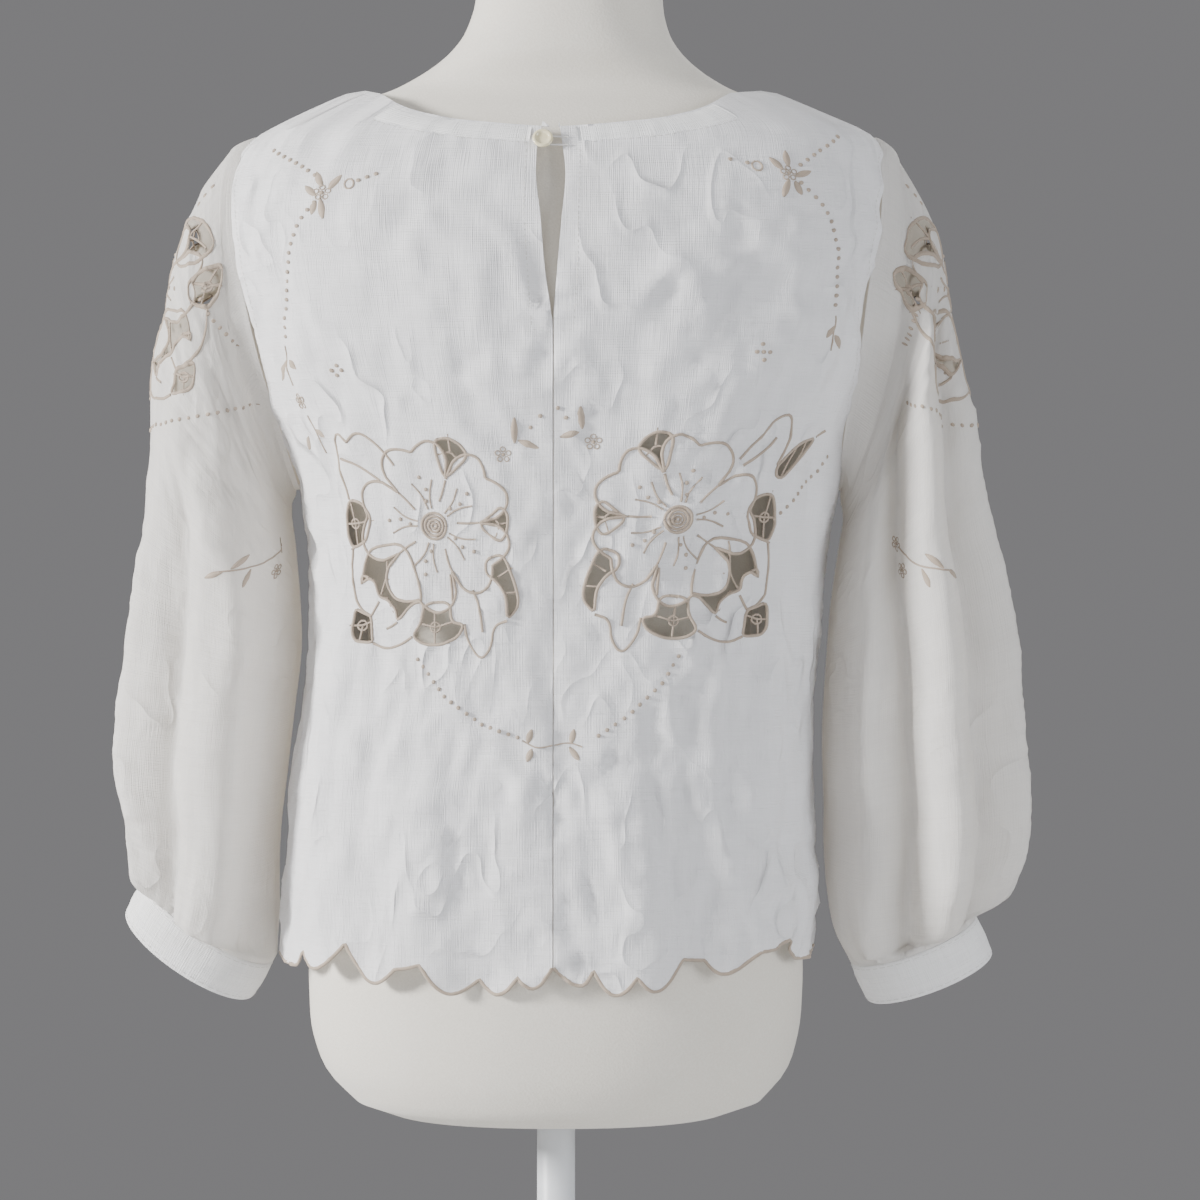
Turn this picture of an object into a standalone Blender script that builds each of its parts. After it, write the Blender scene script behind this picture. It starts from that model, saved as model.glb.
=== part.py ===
"""Puff sleeve blouse with cutwork, worn on a limbless dress form on a stand.

Metres, +Z up. The wearer's front faces -Y and the wearer's left is +X.
The origin is the middle of the underside of the stand's base.
The cloth panels are drawn flat, in their own width and height, and then
laid on rings worked out from the tables below.
"""
import math
from collections import namedtuple

import bmesh
import bpy
import numpy as np
from mathutils import Vector
from mathutils.geometry import delaunay_2d_cdt

MM = 0.001

# Heights in the tables are in millimetres from this level of the stand
LEVEL = 842 * MM

# Cloth and stand
CLOTH = 1.5 * MM
CUFF_CLOTH = 2.4 * MM
SEAM = 0.4 * MM
SPLIT_GAP = 0.7 * MM
BASE_RADIUS = 150 * MM
BASE_THICK = 20 * MM
POLE_RADIUS = 12.5 * MM
TOUCH = 0.3 * MM
BAR_WIDTH = 1.8 * MM
PANEL_GRID = 27 * MM
FRONT_GRID = 32 * MM
SEAM_STRIP = 6 * MM
SHOULDER_HEIGHTS = (296, 306, 314, 321, 328)
SHOULDER_PLACES = (18, 32, 48, 66)
GRID_CLEAR = 4.5 * MM
MERGE = 0.25 * MM
SMALLEST_GAP = 7 * MM * MM
SMALLEST_PATCH = 60 * MM * MM
PROBE = 1 * MM
ROUNDNESS = 0.8

# Blouse body: half widths at the wearer's left and right, depths behind and in front
BodyRow = namedtuple("BodyRow", "height left right back front")
BODY = [
    BodyRow(-265, 178, 170, 116, 120),
    BodyRow(-241, 178, 168, 116, 120),
    BodyRow(-172, 176, 170, 115, 120),
    BodyRow(-106, 171, 168, 113, 119),
    BodyRow(-66, 165, 168, 111, 118),
    BodyRow(-26, 160, 172, 109, 118),
    BodyRow(26, 160, 176, 109, 119),
    BodyRow(73, 168, 184, 110, 122),
    BodyRow(110, 182, 192, 110, 122),
    BodyRow(150, 199, 205, 109, 119),
    BodyRow(200, 214, 215, 105, 112),
    BodyRow(250, 220, 222, 96, 98),
    BodyRow(280, 213, 218, 86, 86),
    BodyRow(305, 193, 206, 75, 75),
    BodyRow(320, 163, 172, 67, 67),
    BodyRow(337, 124, 133, 56, 56),
]
ARMHOLE_TOP = 305
ARMHOLE_BOTTOM = 73
ARMHOLE_DEPTH = 50
SIDE_NECK_HEIGHT = 336
SHOULDER_STEPS = 5
REF_WIDTH, REF_DEPTH = 172 * MM, 112 * MM

# Neckline, distance from the middle and height, behind and in front
NeckRow = namedtuple("NeckRow", "out height")
NECK_BACK = [NeckRow(0, 299), NeckRow(37, 302), NeckRow(73, 307), NeckRow(97, 315), NeckRow(112, 325)]
NECK_FRONT = [NeckRow(0, 262), NeckRow(38, 266), NeckRow(72, 278), NeckRow(98, 297), NeckRow(114, 319)]

# Keyhole slit at the centre back, the places of its two cut edges
SlitRow = namedtuple("SlitRow", "height left right")
SLIT = [
    SlitRow(303, 7, -3),
    SlitRow(288, 10, -5),
    SlitRow(270, 11, -7),
    SlitRow(240, 8, -5),
    SlitRow(205, 5, -2),
    SlitRow(178, 1, 0),
]

# Hem scallops, place across the back and height of each low and high point
HemRow = namedtuple("HemRow", "out height")
HEM_LEFT = [
    HemRow(0, -227), HemRow(13, -240), HemRow(22, -233), HemRow(35, -244), HemRow(47, -235),
    HemRow(64, -244), HemRow(82, -226), HemRow(97, -229), HemRow(113, -239), HemRow(130, -215),
    HemRow(147, -232), HemRow(158, -223), HemRow(165, -233),
]
HEM_RIGHT = [
    HemRow(0, -227), HemRow(17, -238), HemRow(25, -229), HemRow(38, -244), HemRow(51, -233),
    HemRow(62, -242), HemRow(81, -223), HemRow(95, -224), HemRow(105, -233), HemRow(126, -220),
    HemRow(146, -215), HemRow(156, -229),
]
HEM_SIDE = -226
FRONT_SCALLOPS = 12
FRONT_SCALLOP_DROP = 11

# Soft folds of the body: place along the panel, width, depth, and the stretch they run over
Fold = namedtuple("Fold", "at width depth low high")
BODY_FOLDS = [
    Fold(150, 16, 5, -262, -30),
    Fold(118, 14, -4, -262, -60),
    Fold(84, 18, 4, -262, -120),
    Fold(44, 15, -4, -262, -150),
    Fold(-52, 17, 4, -262, -130),
    Fold(-96, 16, -4, -262, -90),
    Fold(-140, 15, 5, -262, -20),
    Fold(-168, 12, -5, 40, 260),
    Fold(166, 12, -4, 90, 250),
    Fold(290, 20, 5, -262, 20),
    Fold(340, 20, -5, -262, 60),
    Fold(395, 22, 5, -262, 10),
    Fold(480, 22, -5, -262, 40),
    Fold(545, 20, 5, -262, 80),
]
CALM_MIDDLE = 25 * MM

# Sleeves: outer and inner point of each ring, half depth, and how far its back edge hangs lower
SleeveRow = namedtuple("SleeveRow", "out_x out_z in_x in_z depth droop")
SLEEVE_LEFT = [
    SleeveRow(214, 296, 172, 69, 51, 0),
    SleeveRow(232, 270, 174, 65, 55, 0),
    SleeveRow(248, 230, 175, 60, 59, 1),
    SleeveRow(258, 191, 175, 52, 61, 2),
    SleeveRow(265, 148, 173, 37, 62, 3),
    SleeveRow(267, 99, 171, 17, 62, 3),
    SleeveRow(270, 53, 169, -8, 62, 3),
    SleeveRow(274, -13, 169, -40, 63, 4),
    SleeveRow(279, -66, 173, -73, 65, 5),
    SleeveRow(281, -109, 178, -116, 65, 6),
    SleeveRow(275, -140, 182, -150, 62, 10),
    SleeveRow(272, -158, 184, -185, 56, 18),
    SleeveRow(270, -170, 185, -213, 45, 24),
    SleeveRow(268, -178, 185, -235, 31, 9),
]
SLEEVE_RIGHT = [
    SleeveRow(224, 292, 188, 64, 51, 0),
    SleeveRow(236, 272, 189, 60, 55, 0),
    SleeveRow(249, 245, 190, 53, 59, 1),
    SleeveRow(258, 198, 189, 43, 61, 2),
    SleeveRow(265, 155, 187, 30, 62, 3),
    SleeveRow(269, 112, 184, 12, 62, 3),
    SleeveRow(274, 66, 181, -11, 62, 3),
    SleeveRow(284, 26, 179, -38, 64, 4),
    SleeveRow(293, -26, 177, -66, 66, 5),
    SleeveRow(295, -66, 176, -96, 67, 6),
    SleeveRow(299, -105, 177, -134, 66, 7),
    SleeveRow(301, -148, 177, -165, 62, 9),
    SleeveRow(296, -173, 179, -192, 55, 12),
    SleeveRow(288, -192, 184, -218, 43, 13),
    SleeveRow(275, -204, 193, -236, 29, 6),
]
CUFF_HEIGHT = 27
CUFF_SWELL = 0.02
CUFF_LEAN_LEFT, CUFF_LEAN_RIGHT = 0.52, 0.42
NECK_OF_SLEEVE = 3.5
SLEEVE_LEAD = 26.0
SLEEVE_CAP_LIFT = 3.0
TUCK_REACH = 12
FOLD_START = 60
INNER_CALM = 0.95
BULGE, BULGE_REACH = 15, 120
SLEEVE_COLUMNS = 36
SLEEVE_ROWS = 12
SLEEVE_SPLIT = math.radians(-70)
SLEEVE_REF = 60 * MM
NET_TURNS = np.linspace(-100, 160, 27) * MM
NET_RUNS = np.linspace(0, 330, 34) * MM

# Gathers at the cuff, and the long folds down each sleeve
GATHERS = 9
GATHER_DEPTH = 3.0
GATHER_REACH = 62
SleeveFold = namedtuple("SleeveFold", "angle width depth low high")
FOLDS_LEFT = [
    SleeveFold(30, 14, 5, 0, 235),
    SleeveFold(66, 15, -6, 10, 300),
    SleeveFold(112, 16, 5, 5, 260),
    SleeveFold(-60, 16, -5, 0, 250),
    SleeveFold(-110, 16, 5, 0, 240),
]
FOLDS_RIGHT = [
    SleeveFold(22, 11, 6, 0, 330),
    SleeveFold(48, 12, -8, 0, 420),
    SleeveFold(78, 14, 8, 0, 430),
    SleeveFold(104, 12, -9, 5, 430),
    SleeveFold(130, 13, 6, 5, 400),
    SleeveFold(-40, 16, -5, 0, 280),
    SleeveFold(-95, 18, 6, 0, 300),
]

# Dress form: half width, depth behind, depth in front, and a shift of the middle
FormRow = namedtuple("FormRow", "height half back front shift")
FORM = [
    FormRow(-335, 40, 30, 30, -2),
    FormRow(-334, 112, 78, 78, -2),
    FormRow(-326, 134, 92, 94, -2),
    FormRow(-310, 149, 101, 104, -1),
    FormRow(-285, 159, 107, 110, 0),
    FormRow(-255, 162, 109, 111, 0),
    FormRow(-200, 160, 106, 108, 0),
    FormRow(-150, 152, 98, 102, 0),
    FormRow(-90, 136, 87, 96, -1),
    FormRow(-30, 126, 82, 95, -2),
    FormRow(30, 132, 86, 102, -2),
    FormRow(90, 144, 93, 109, -2),
    FormRow(150, 156, 97, 108, -2),
    FormRow(205, 168, 95, 100, -2),
    FormRow(250, 177, 87, 88, -2),
    FormRow(280, 175, 78, 76, -3),
    FormRow(303, 174, 65, 63, -5.5),
    FormRow(318, 159, 56, 55, -4.5),
    FormRow(326, 141, 49, 46, -4.5),
    FormRow(333, 118, 46, 42, -4.5),
    FormRow(341, 101, 48, 46, -5),
    FormRow(352, 84, 52, 57, -6),
    FormRow(366, 71, 53, 58, -7),
    FormRow(382, 64, 55, 57, -8),
    FormRow(400, 61, 56, 56, -9),
    FormRow(412, 60, 56, 56, -9),
]
FORM_COLUMNS = 28
CAP_HEIGHT = 8 * MM

# Cutwork flower, drawn flat in millimetres about its middle
Petal = namedtuple("Petal", "angle reach")
PETALS = [Petal(172, 53), Petal(101, 53), Petal(39, 53), Petal(-32, 52), Petal(-105, 54)]
PETAL_VALLEY = 0.57
PETAL_NOTCH = 0.12
PETAL_EDGE = 0.45
PETAL_STEPS = (-1.0, -0.85, -0.62, -0.36, 0.0, 0.36, 0.62, 0.85)
Spot = namedtuple("Spot", "across up")


def spots(*pairs):
    """Points of an outline or a bar, from pairs of millimetres."""
    return [Spot(*pair) for pair in pairs]


WINDOWS = {
    "top": spots((6, 53), (15.6, 55), (22.5, 50.5), (27, 43), (13, 31), (9, 31)),
    "side": spots((30, 0), (39, 7), (45, 12), (50, 7), (49, -4), (44, -11)),
    "side_low": spots((34, -21), (46, -17), (54, -36), (56.5, -49), (48.5, -59), (48, -44), (42, -35),
                      (34, -30)),
    "bottom": spots((-8, -48), (9, -47), (11, -60), (20, -61), (16, -69), (5, -74), (-7, -74), (-16, -69),
                    (-10, -60)),
    "hook": spots((-46, -13), (-20, -10), (-9, -47), (-17, -48), (-28, -60), (-30, -52), (-36, -46),
                  (-43, -44), (-45, -35), (-50, -32), (-56, -36), (-52, -22)),
    "far_side": spots((-60, 17.5), (-50, 15), (-44, 6), (-48, -5), (-50, -9), (-61, -14), (-65, -4),
                      (-64, 7)),
    "far_low": spots((-62, -51), (-55, -54), (-49, -56), (-47, -68), (-46, -73), (-61.5, -72)),
}
BARS = [
    spots((-33, -13), (-37, -33), (-43, -46)),
    spots((-37, -33), (-25, -34)),
    spots((-37, -44), (-30, -57)),
    spots((-13, -60), (0, -63), (14, -59)),
    spots((0, -63), (-2, -46)),
    spots((0, -63), (0, -76)),
    spots((-67, 2), (-57, 2), (-42, 4)),
    spots((-57, 2), (-60, 19)),
    spots((-57, 2), (-57, -16)),
    spots((-64, -62), (-55, -62), (-45, -58)),
    spots((-55, -62), (-57, -75)),
    spots((42, -32), (52, -26)),
    spots((45, -42), (58, -41)),
    spots((37, 7), (44, 1), (41, -8)),
    spots((44, 1), (51, 2)),
    spots((7, 44), (16, 46), (22, 39)),
    spots((16, 46), (16, 57)),
]
SLEEVE_WINDOW = spots((-13, 50), (-22, 57), (-34, 53), (-45, 43), (-52, 29), (-42, 19), (-25, 20), (-15, 34))
ARM_WINDOW = spots((-60, 35), (-74, 49), (-92, 54), (-80, 43), (-66, 27), (-61, 27))
ARM_BARS = [spots((-64, 27), (-74, 49)), spots((-72, 33), (-83, 52))]
SLEEVE_BARS = [spots((-24, 26), (-29, 40), (-36, 56)), spots((-29, 40), (-46, 32))]

# Where each motif lies: distance across or round, height, width and tallness, and -1 for a mirror image
Motif = namedtuple("Motif", "across up wide tall turn")
MOTIF_BACK_LEFT = Motif(79, 46, 1.0, 1.0, -1)
MOTIF_BACK_RIGHT = Motif(-74, 50, 1.0, 1.0, 1)
MOTIF_SLEEVE_LEFT = Motif(2, 198, 1.15, 0.9, -1)
MOTIF_SLEEVE_RIGHT = Motif(5, 197, 1.15, 0.9, -1)

# Button and thread loop at the top of the slit
BUTTON_RADIUS = 6.6 * MM
BUTTON_THICK = 2.6 * MM
BUTTON_OUT, BUTTON_HEIGHT = 7.0, 289
LOOP_RADIUS = 0.6 * MM
LOOP_BEND = 3.3 * MM
LOOP_REACH = 16 * MM
SHANK_RADIUS = 2.2 * MM
SHANK_LENGTH = 2.0 * MM

LINEN = (0.80, 0.80, 0.82)
JERSEY = (0.74, 0.71, 0.63)
STAND = (0.62, 0.64, 0.67)
PEARL = (0.80, 0.74, 0.52)
THREAD = (0.78, 0.76, 0.70)


def smooth(value, keys, values):
    """Curve through a table, with gentle slopes between the rows."""
    keys = np.asarray(keys, float)
    values = np.asarray(values, float)
    slopes = np.gradient(values, keys)
    value = min(max(value, keys[0]), keys[-1])
    row = int(min(max(np.searchsorted(keys, value) - 1, 0), len(keys) - 2))
    span = keys[row + 1] - keys[row]
    t = (value - keys[row]) / span
    rise = values[row] * (1 + 2 * t) * (1 - t) ** 2 + values[row + 1] * t * t * (3 - 2 * t)
    lean = slopes[row] * t * (1 - t) ** 2 - slopes[row + 1] * t * t * (1 - t)
    return float(rise + lean * span)


def column(rows, name):
    return [getattr(row, name) for row in rows]


def bump(distance, width):
    return math.exp(-(distance / width) ** 2)


def fade(value, low, high, soft=35.0):
    """One inside the stretch from low to high, easing to nothing past its ends."""
    before = min(max((value - low) / soft + 1, 0), 1)
    after = min(max((high - value) / soft + 1, 0), 1)
    return (before * before * (3 - 2 * before)) * (after * after * (3 - 2 * after))


def quarter_table(steps=200):
    """Distance along a quarter of the body's ring, from the middle to the side."""
    angles = [0.5 * math.pi * k / steps for k in range(steps + 1)]
    points = [(REF_WIDTH * math.sin(a) ** ROUNDNESS, REF_DEPTH * math.cos(a) ** ROUNDNESS) for a in angles]
    lengths = [0.0]
    for before, after in zip(points, points[1:]):
        lengths.append(lengths[-1] + math.dist(before, after))
    return np.array(angles), np.array(lengths)


ANGLES, LENGTHS = quarter_table()
QUARTER = float(LENGTHS[-1])


def body_size(height, name):
    return smooth(height / MM, column(BODY, "height"), column(BODY, name)) * MM


def body_point(along, height):
    """Point of the blouse body: along runs from the centre back by the wearer's left to the front."""
    behind = along <= QUARTER
    left = 0 <= along <= 2 * QUARTER
    reach = abs(along) if behind else abs(2 * QUARTER - along)
    angle = float(np.interp(reach, LENGTHS, ANGLES))
    half = body_size(height, "left" if left else "right")
    deep = body_size(height, "back" if behind else "front")
    across = half * math.sin(angle) ** ROUNDNESS
    depth = deep * max(math.cos(angle), 0.0) ** ROUNDNESS
    lift = sum(f.depth * bump(along / MM - f.at, f.width) * fade(height / MM, f.low, f.high)
               for f in BODY_FOLDS)
    lift *= MM * math.cos(angle) ** 0.5 * min(1.0, reach / CALM_MIDDLE)
    across += lift * math.sin(angle)
    depth += lift * math.cos(angle)
    return Vector((across if left else -across, depth if behind else -depth, LEVEL + height))


def along_of(out, height, front=False):
    """Place along the body of a point at this distance from the middle."""
    half = body_size(height, "left" if out >= 0 else "right")
    ratio = min(abs(out) / half, 1.0) ** (1 / ROUNDNESS)
    reach = float(np.interp(math.asin(min(ratio, 1.0)), ANGLES, LENGTHS))
    if front:
        return 2 * QUARTER - reach if out >= 0 else 2 * QUARTER + reach
    return reach if out >= 0 else -reach


def armhole(angle):
    """Height and depth of the armhole at an angle from its top."""
    middle = 0.5 * (ARMHOLE_TOP + ARMHOLE_BOTTOM) * MM
    half = 0.5 * (ARMHOLE_TOP - ARMHOLE_BOTTOM) * MM
    return middle + half * math.cos(angle), ARMHOLE_DEPTH * MM * math.sin(angle)


def armhole_reach(angle):
    """Distance from the centre back, or front, to the armhole's edge at this angle."""
    height, depth = armhole(angle)
    deep = body_size(height, "back" if depth >= 0 else "front")
    turn = math.acos(min(abs(depth) / deep, 1.0) ** (1 / ROUNDNESS))
    return float(np.interp(turn, ANGLES, LENGTHS)), height


def inside(points, outline):
    """Which of the points lie inside a closed outline."""
    points = np.asarray(points, float)
    shape = np.asarray(outline, float)
    ahead = np.roll(shape, -1, axis=0)
    found = np.zeros(len(points), bool)
    for (ax, ay), (bx, by) in zip(shape, ahead):
        if ay == by:
            continue
        crosses = (points[:, 1] < ay) != (points[:, 1] < by)
        at = ax + (points[:, 1] - ay) * (bx - ax) / (by - ay)
        found ^= crosses & (points[:, 0] < at)
    return found


def flower_outline():
    """Five petals with a notch in each, as one closed outline."""
    order = sorted(PETALS, key=lambda petal: petal.angle)
    outline = []
    for index, petal in enumerate(order):
        before = order[index - 1].angle - (360 if index == 0 else 0)
        after = order[(index + 1) % len(order)].angle + (360 if index == len(order) - 1 else 0)
        for step in PETAL_STEPS:
            gap = petal.angle - before if step < 0 else after - petal.angle
            angle = math.radians(petal.angle + 0.5 * gap * step)
            size = abs(step)
            if size > PETAL_EDGE:
                round_end = math.sqrt(1 - ((size - PETAL_EDGE) / (1 - PETAL_EDGE)) ** 2)
                reach = PETAL_VALLEY + (1 - PETAL_VALLEY) * round_end
            else:
                reach = 1 - PETAL_NOTCH * (1 - size / PETAL_EDGE) ** 1.4
            reach *= petal.reach
            outline.append(Spot(reach * math.cos(angle), reach * math.sin(angle)))
    return outline


def bar_outline(first, second):
    """A thin sewn bar between two points."""
    ahead = Vector((second.across - first.across, second.up - first.up)).normalized()
    side = Vector((-ahead.y, ahead.x)) * (0.5 * BAR_WIDTH / MM)
    ends = ((first, 1), (second, 1), (second, -1), (first, -1))
    return [Spot(end.across + sign * side.x, end.up + sign * side.y) for end, sign in ends]


def placed(outline, motif):
    """Outline of the motif moved to its place across and up, in metres."""
    return [((motif.across + motif.turn * motif.wide * spot.across) * MM,
             (motif.up + motif.tall * spot.up) * MM) for spot in outline]


class Cutwork:
    """The gaps of one motif, with its flower and bars left standing, on a flat pattern."""

    def __init__(self, motif, sleeve=None):
        windows, bars = list(WINDOWS.values()), list(BARS)
        if sleeve:
            windows.append(SLEEVE_WINDOW)
            bars += SLEEVE_BARS
        elif motif == MOTIF_BACK_RIGHT:
            windows.append(ARM_WINDOW)
            bars += ARM_BARS
        flat = sleeve.flat if sleeve else list
        self.flower = flat(placed(flower_outline(), motif))
        self.windows = [flat(placed(outline, motif)) for outline in windows]
        self.bars = [flat(placed(bar_outline(a, b), motif)) for bar in bars for a, b in zip(bar, bar[1:])]

    def outlines(self):
        return [self.flower] + self.windows + self.bars

    def gap(self, points):
        opened = np.zeros(len(points), bool)
        for window in self.windows:
            opened |= inside(points, window)
        opened &= ~inside(points, self.flower)
        for bar in self.bars:
            opened &= ~inside(points, bar)
        return opened


def keep_sound(triangles, points, kept):
    """Fill slivers of gap, and gaps that meet at a single point."""
    edges = {}
    for number, corners in enumerate(triangles):
        for a, b in zip(corners, corners[1:] + corners[:1]):
            edges.setdefault((min(a, b), max(a, b)), []).append(number)
    near = [set() for _ in triangles]
    for pair in edges.values():
        if len(pair) == 2:
            near[pair[0]].add(pair[1])
            near[pair[1]].add(pair[0])
    area = [abs((points[b][0] - points[a][0]) * (points[c][1] - points[a][1])
                - (points[c][0] - points[a][0]) * (points[b][1] - points[a][1])) / 2
            for a, b, c in triangles]

    def group(start, state, seen):
        found, queue = [start], [start]
        seen.add(start)
        while queue:
            for other in near[queue.pop()]:
                if other not in seen and kept[other] == state:
                    seen.add(other)
                    found.append(other)
                    queue.append(other)
        return found

    for state, smallest in ((False, SMALLEST_GAP), (True, SMALLEST_PATCH)):
        seen = set()
        for start in range(len(triangles)):
            if start in seen or kept[start] != state:
                continue
            found = group(start, state, seen)
            if sum(area[number] for number in found) < smallest:
                for number in found:
                    kept[number] = not state
                    seen.add(number)
    around = {}
    for number, corners in enumerate(triangles):
        for corner in corners:
            around.setdefault(corner, []).append(number)
    changed = True
    while changed:
        changed = False
        for corner, ring in around.items():
            live = [number for number in ring if kept[number]]
            if len(live) < 2:
                continue
            found, queue = {live[0]}, [live[0]]
            while queue:
                for other in near[queue.pop()]:
                    if other in ring and kept[other] and other not in found:
                        found.add(other)
                        queue.append(other)
            if len(found) < len(live):
                for number in ring:
                    if not kept[number]:
                        kept[number] = True
                        changed = True
    return kept


def flat_panel(outline, grid, cutworks):
    """Triangles of a flat panel with its gaps cut out."""
    loops = [list(outline)] + [loop for cutwork in cutworks for loop in cutwork.outlines()]
    points, edges = [], []
    for loop in loops:
        first = len(points)
        points += loop
        edges += [(first + k, first + (k + 1) % len(loop)) for k in range(len(loop))]
    fixed = np.array(points)
    grid = np.array(grid)
    grid = grid[inside(grid, outline)]
    starts = fixed[[edge[0] for edge in edges]]
    spans = fixed[[edge[1] for edge in edges]] - starts
    share = ((grid[:, None, :] - starts) * spans).sum(2) / (spans ** 2).sum(1)
    nearest = starts + np.clip(share, 0, 1)[:, :, None] * spans
    clear = np.sqrt(((grid[:, None, :] - nearest) ** 2).sum(2)).min(1) > GRID_CLEAR
    points += [tuple(point) for point in grid[clear]]
    found = delaunay_2d_cdt([Vector(p) for p in points], edges, [], 0, MERGE)
    flat = [(v.x, v.y) for v in found[0]]
    triangles = [tuple(face) for face in found[2]]
    middles = np.array([np.mean([flat[c] for c in face], axis=0) for face in triangles])
    within = inside(middles, outline)
    kept = within.copy()
    for cutwork in cutworks:
        kept &= ~cutwork.gap(middles)
    triangles = [face for face, here in zip(triangles, within) if here]
    kept = [bool(state) for state, here in zip(kept, within) if here]
    kept = keep_sound(triangles, flat, kept)
    return flat, [face for face, state in zip(triangles, kept) if state]


def grid_points(low, high, bottom, top, step_across, step_up):
    columns = max(2, round((high - low) / step_across))
    rows = max(2, round((top - bottom) / step_up))
    return [(low + (high - low) * (i + 0.5 * (j % 2)) / columns, bottom + (top - bottom) * j / rows)
            for j in range(1, rows) for i in range(0, columns + 1)]


def material(name, colour, rough, metal=0.0):
    made = bpy.data.materials.new(name)
    made.use_nodes = True
    shader = made.node_tree.nodes["Principled BSDF"]
    shader.inputs["Base Color"].default_value = (*colour, 1.0)
    shader.inputs["Roughness"].default_value = rough
    shader.inputs["Metallic"].default_value = metal
    return made


def add_object(name, mesh, made, collection):
    item = bpy.data.objects.new(name, mesh)
    item.data.materials.append(made)
    collection.objects.link(item)
    return item


def mesh_from(name, points, faces):
    mesh = bpy.data.meshes.new(name)
    mesh.from_pydata([tuple(p) for p in points], [], faces)
    work = bmesh.new()
    work.from_mesh(mesh)
    loose = [vertex for vertex in work.verts if not vertex.link_faces]
    bmesh.ops.delete(work, geom=loose, context="VERTS")
    work.to_mesh(mesh)
    work.free()
    return mesh


def surface_normal(shape, u, v):
    """Direction square to a smooth surface at a point of its flat pattern."""
    along = shape(u + PROBE, v) - shape(u - PROBE, v)
    down = shape(u, v + PROBE) - shape(u, v - PROBE)
    return along.cross(down).normalized()


def cloth(name, flat, triangles, shape, outward, thickness, made, collection):
    """Lay a flat pattern on its shape and give it a wall on the inner side.

    Outward is 1 where the pattern's own normal points out of the garment, otherwise -1.
    """
    work = bmesh.new()
    outer = {}
    inner = {}
    for number in sorted({corner for face in triangles for corner in face}):
        u, v = flat[number]
        place = shape(u, v)
        outer[number] = work.verts.new(place)
        inner[number] = work.verts.new(place - surface_normal(shape, u, v) * outward * thickness)
    for corners in triangles:
        turned_out = corners if outward > 0 else tuple(reversed(corners))
        work.faces.new([outer[c] for c in turned_out])
    rim = [edge for edge in work.edges if edge.is_boundary]
    for corners in triangles:
        turned_in = corners if outward < 0 else tuple(reversed(corners))
        work.faces.new([inner[c] for c in turned_in])
    back = {vertex: inner[number] for number, vertex in outer.items()}
    for edge in rim:
        loop = edge.link_loops[0]
        first, second = loop.vert, loop.link_loop_next.vert
        work.faces.new((second, first, back[first], back[second]))
    mesh = bpy.data.meshes.new(name)
    work.to_mesh(mesh)
    work.free()
    return add_object(name, mesh, made, collection)


def scallops(rows, side_height, to_side):
    """Hem from the centre to the side seam, as shallow arcs between the rows."""
    points = [(along_of(row.out * to_side * MM, row.height * MM), row.height * MM) for row in rows]
    points.append((to_side * (QUARTER - 0.5 * SEAM), side_height * MM))
    outline = []
    for (a, low), (b, high) in zip(points, points[1:]):
        for t in (0.0, 0.5):
            ease = 0.5 - 0.5 * math.cos(math.pi * t)
            outline.append((a + (b - a) * t, low + (high - low) * ease))
    return outline + [points[-1]]


def side_outline(start_height, front):
    """From the hem's side corner up the side seam, round the armhole and up the shoulder seam."""
    edge = QUARTER - 0.5 * SEAM
    points = []
    steps = 7
    for k in range(1, steps):
        points.append((edge, (start_height + (ARMHOLE_BOTTOM - start_height) * k / steps) * MM))
    arc = SLEEVE_COLUMNS // 2
    for k in range(arc + 1):
        turn = math.pi * (1 - k / arc)
        reach, height = armhole_reach(-turn if front else turn)
        points.append((min(reach, edge) - 0.5 * SEAM, height))
    for k in range(1, SHOULDER_STEPS + 1):
        points.append((edge, (ARMHOLE_TOP + (SIDE_NECK_HEIGHT - ARMHOLE_TOP) * k / SHOULDER_STEPS) * MM))
    return points


def neck_outline(rows, side, front=False):
    """From the side of the neck to the centre."""
    points = [(abs(along_of(side * row.out * MM, row.height * MM)), row.height * MM) for row in rows]
    fine = []
    for (a, low), (b, high) in zip(points, points[1:]):
        fine += [(a, low), ((a + b) / 2, (low + high) / 2)]
    return list(reversed(fine + [points[-1]]))


def seam_strip(outline, *seams):
    """Points just inside the seams, which keep the wall square to the cloth there."""
    strip = []
    for u, v in outline:
        for seam in seams:
            if abs(u - seam) < 2 * SEAM:
                strip.append((seam + math.copysign(SEAM_STRIP, seam_middle(seams) - seam), v))
    return strip


def shoulder_grid(seam, inward):
    """Closer points on the shoulder, where the cloth bends most."""
    return [(seam + inward * place * MM, height * MM)
            for height in SHOULDER_HEIGHTS for place in SHOULDER_PLACES]


def seam_middle(seams):
    return 0.5 * (min(seams) + max(seams))


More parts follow.
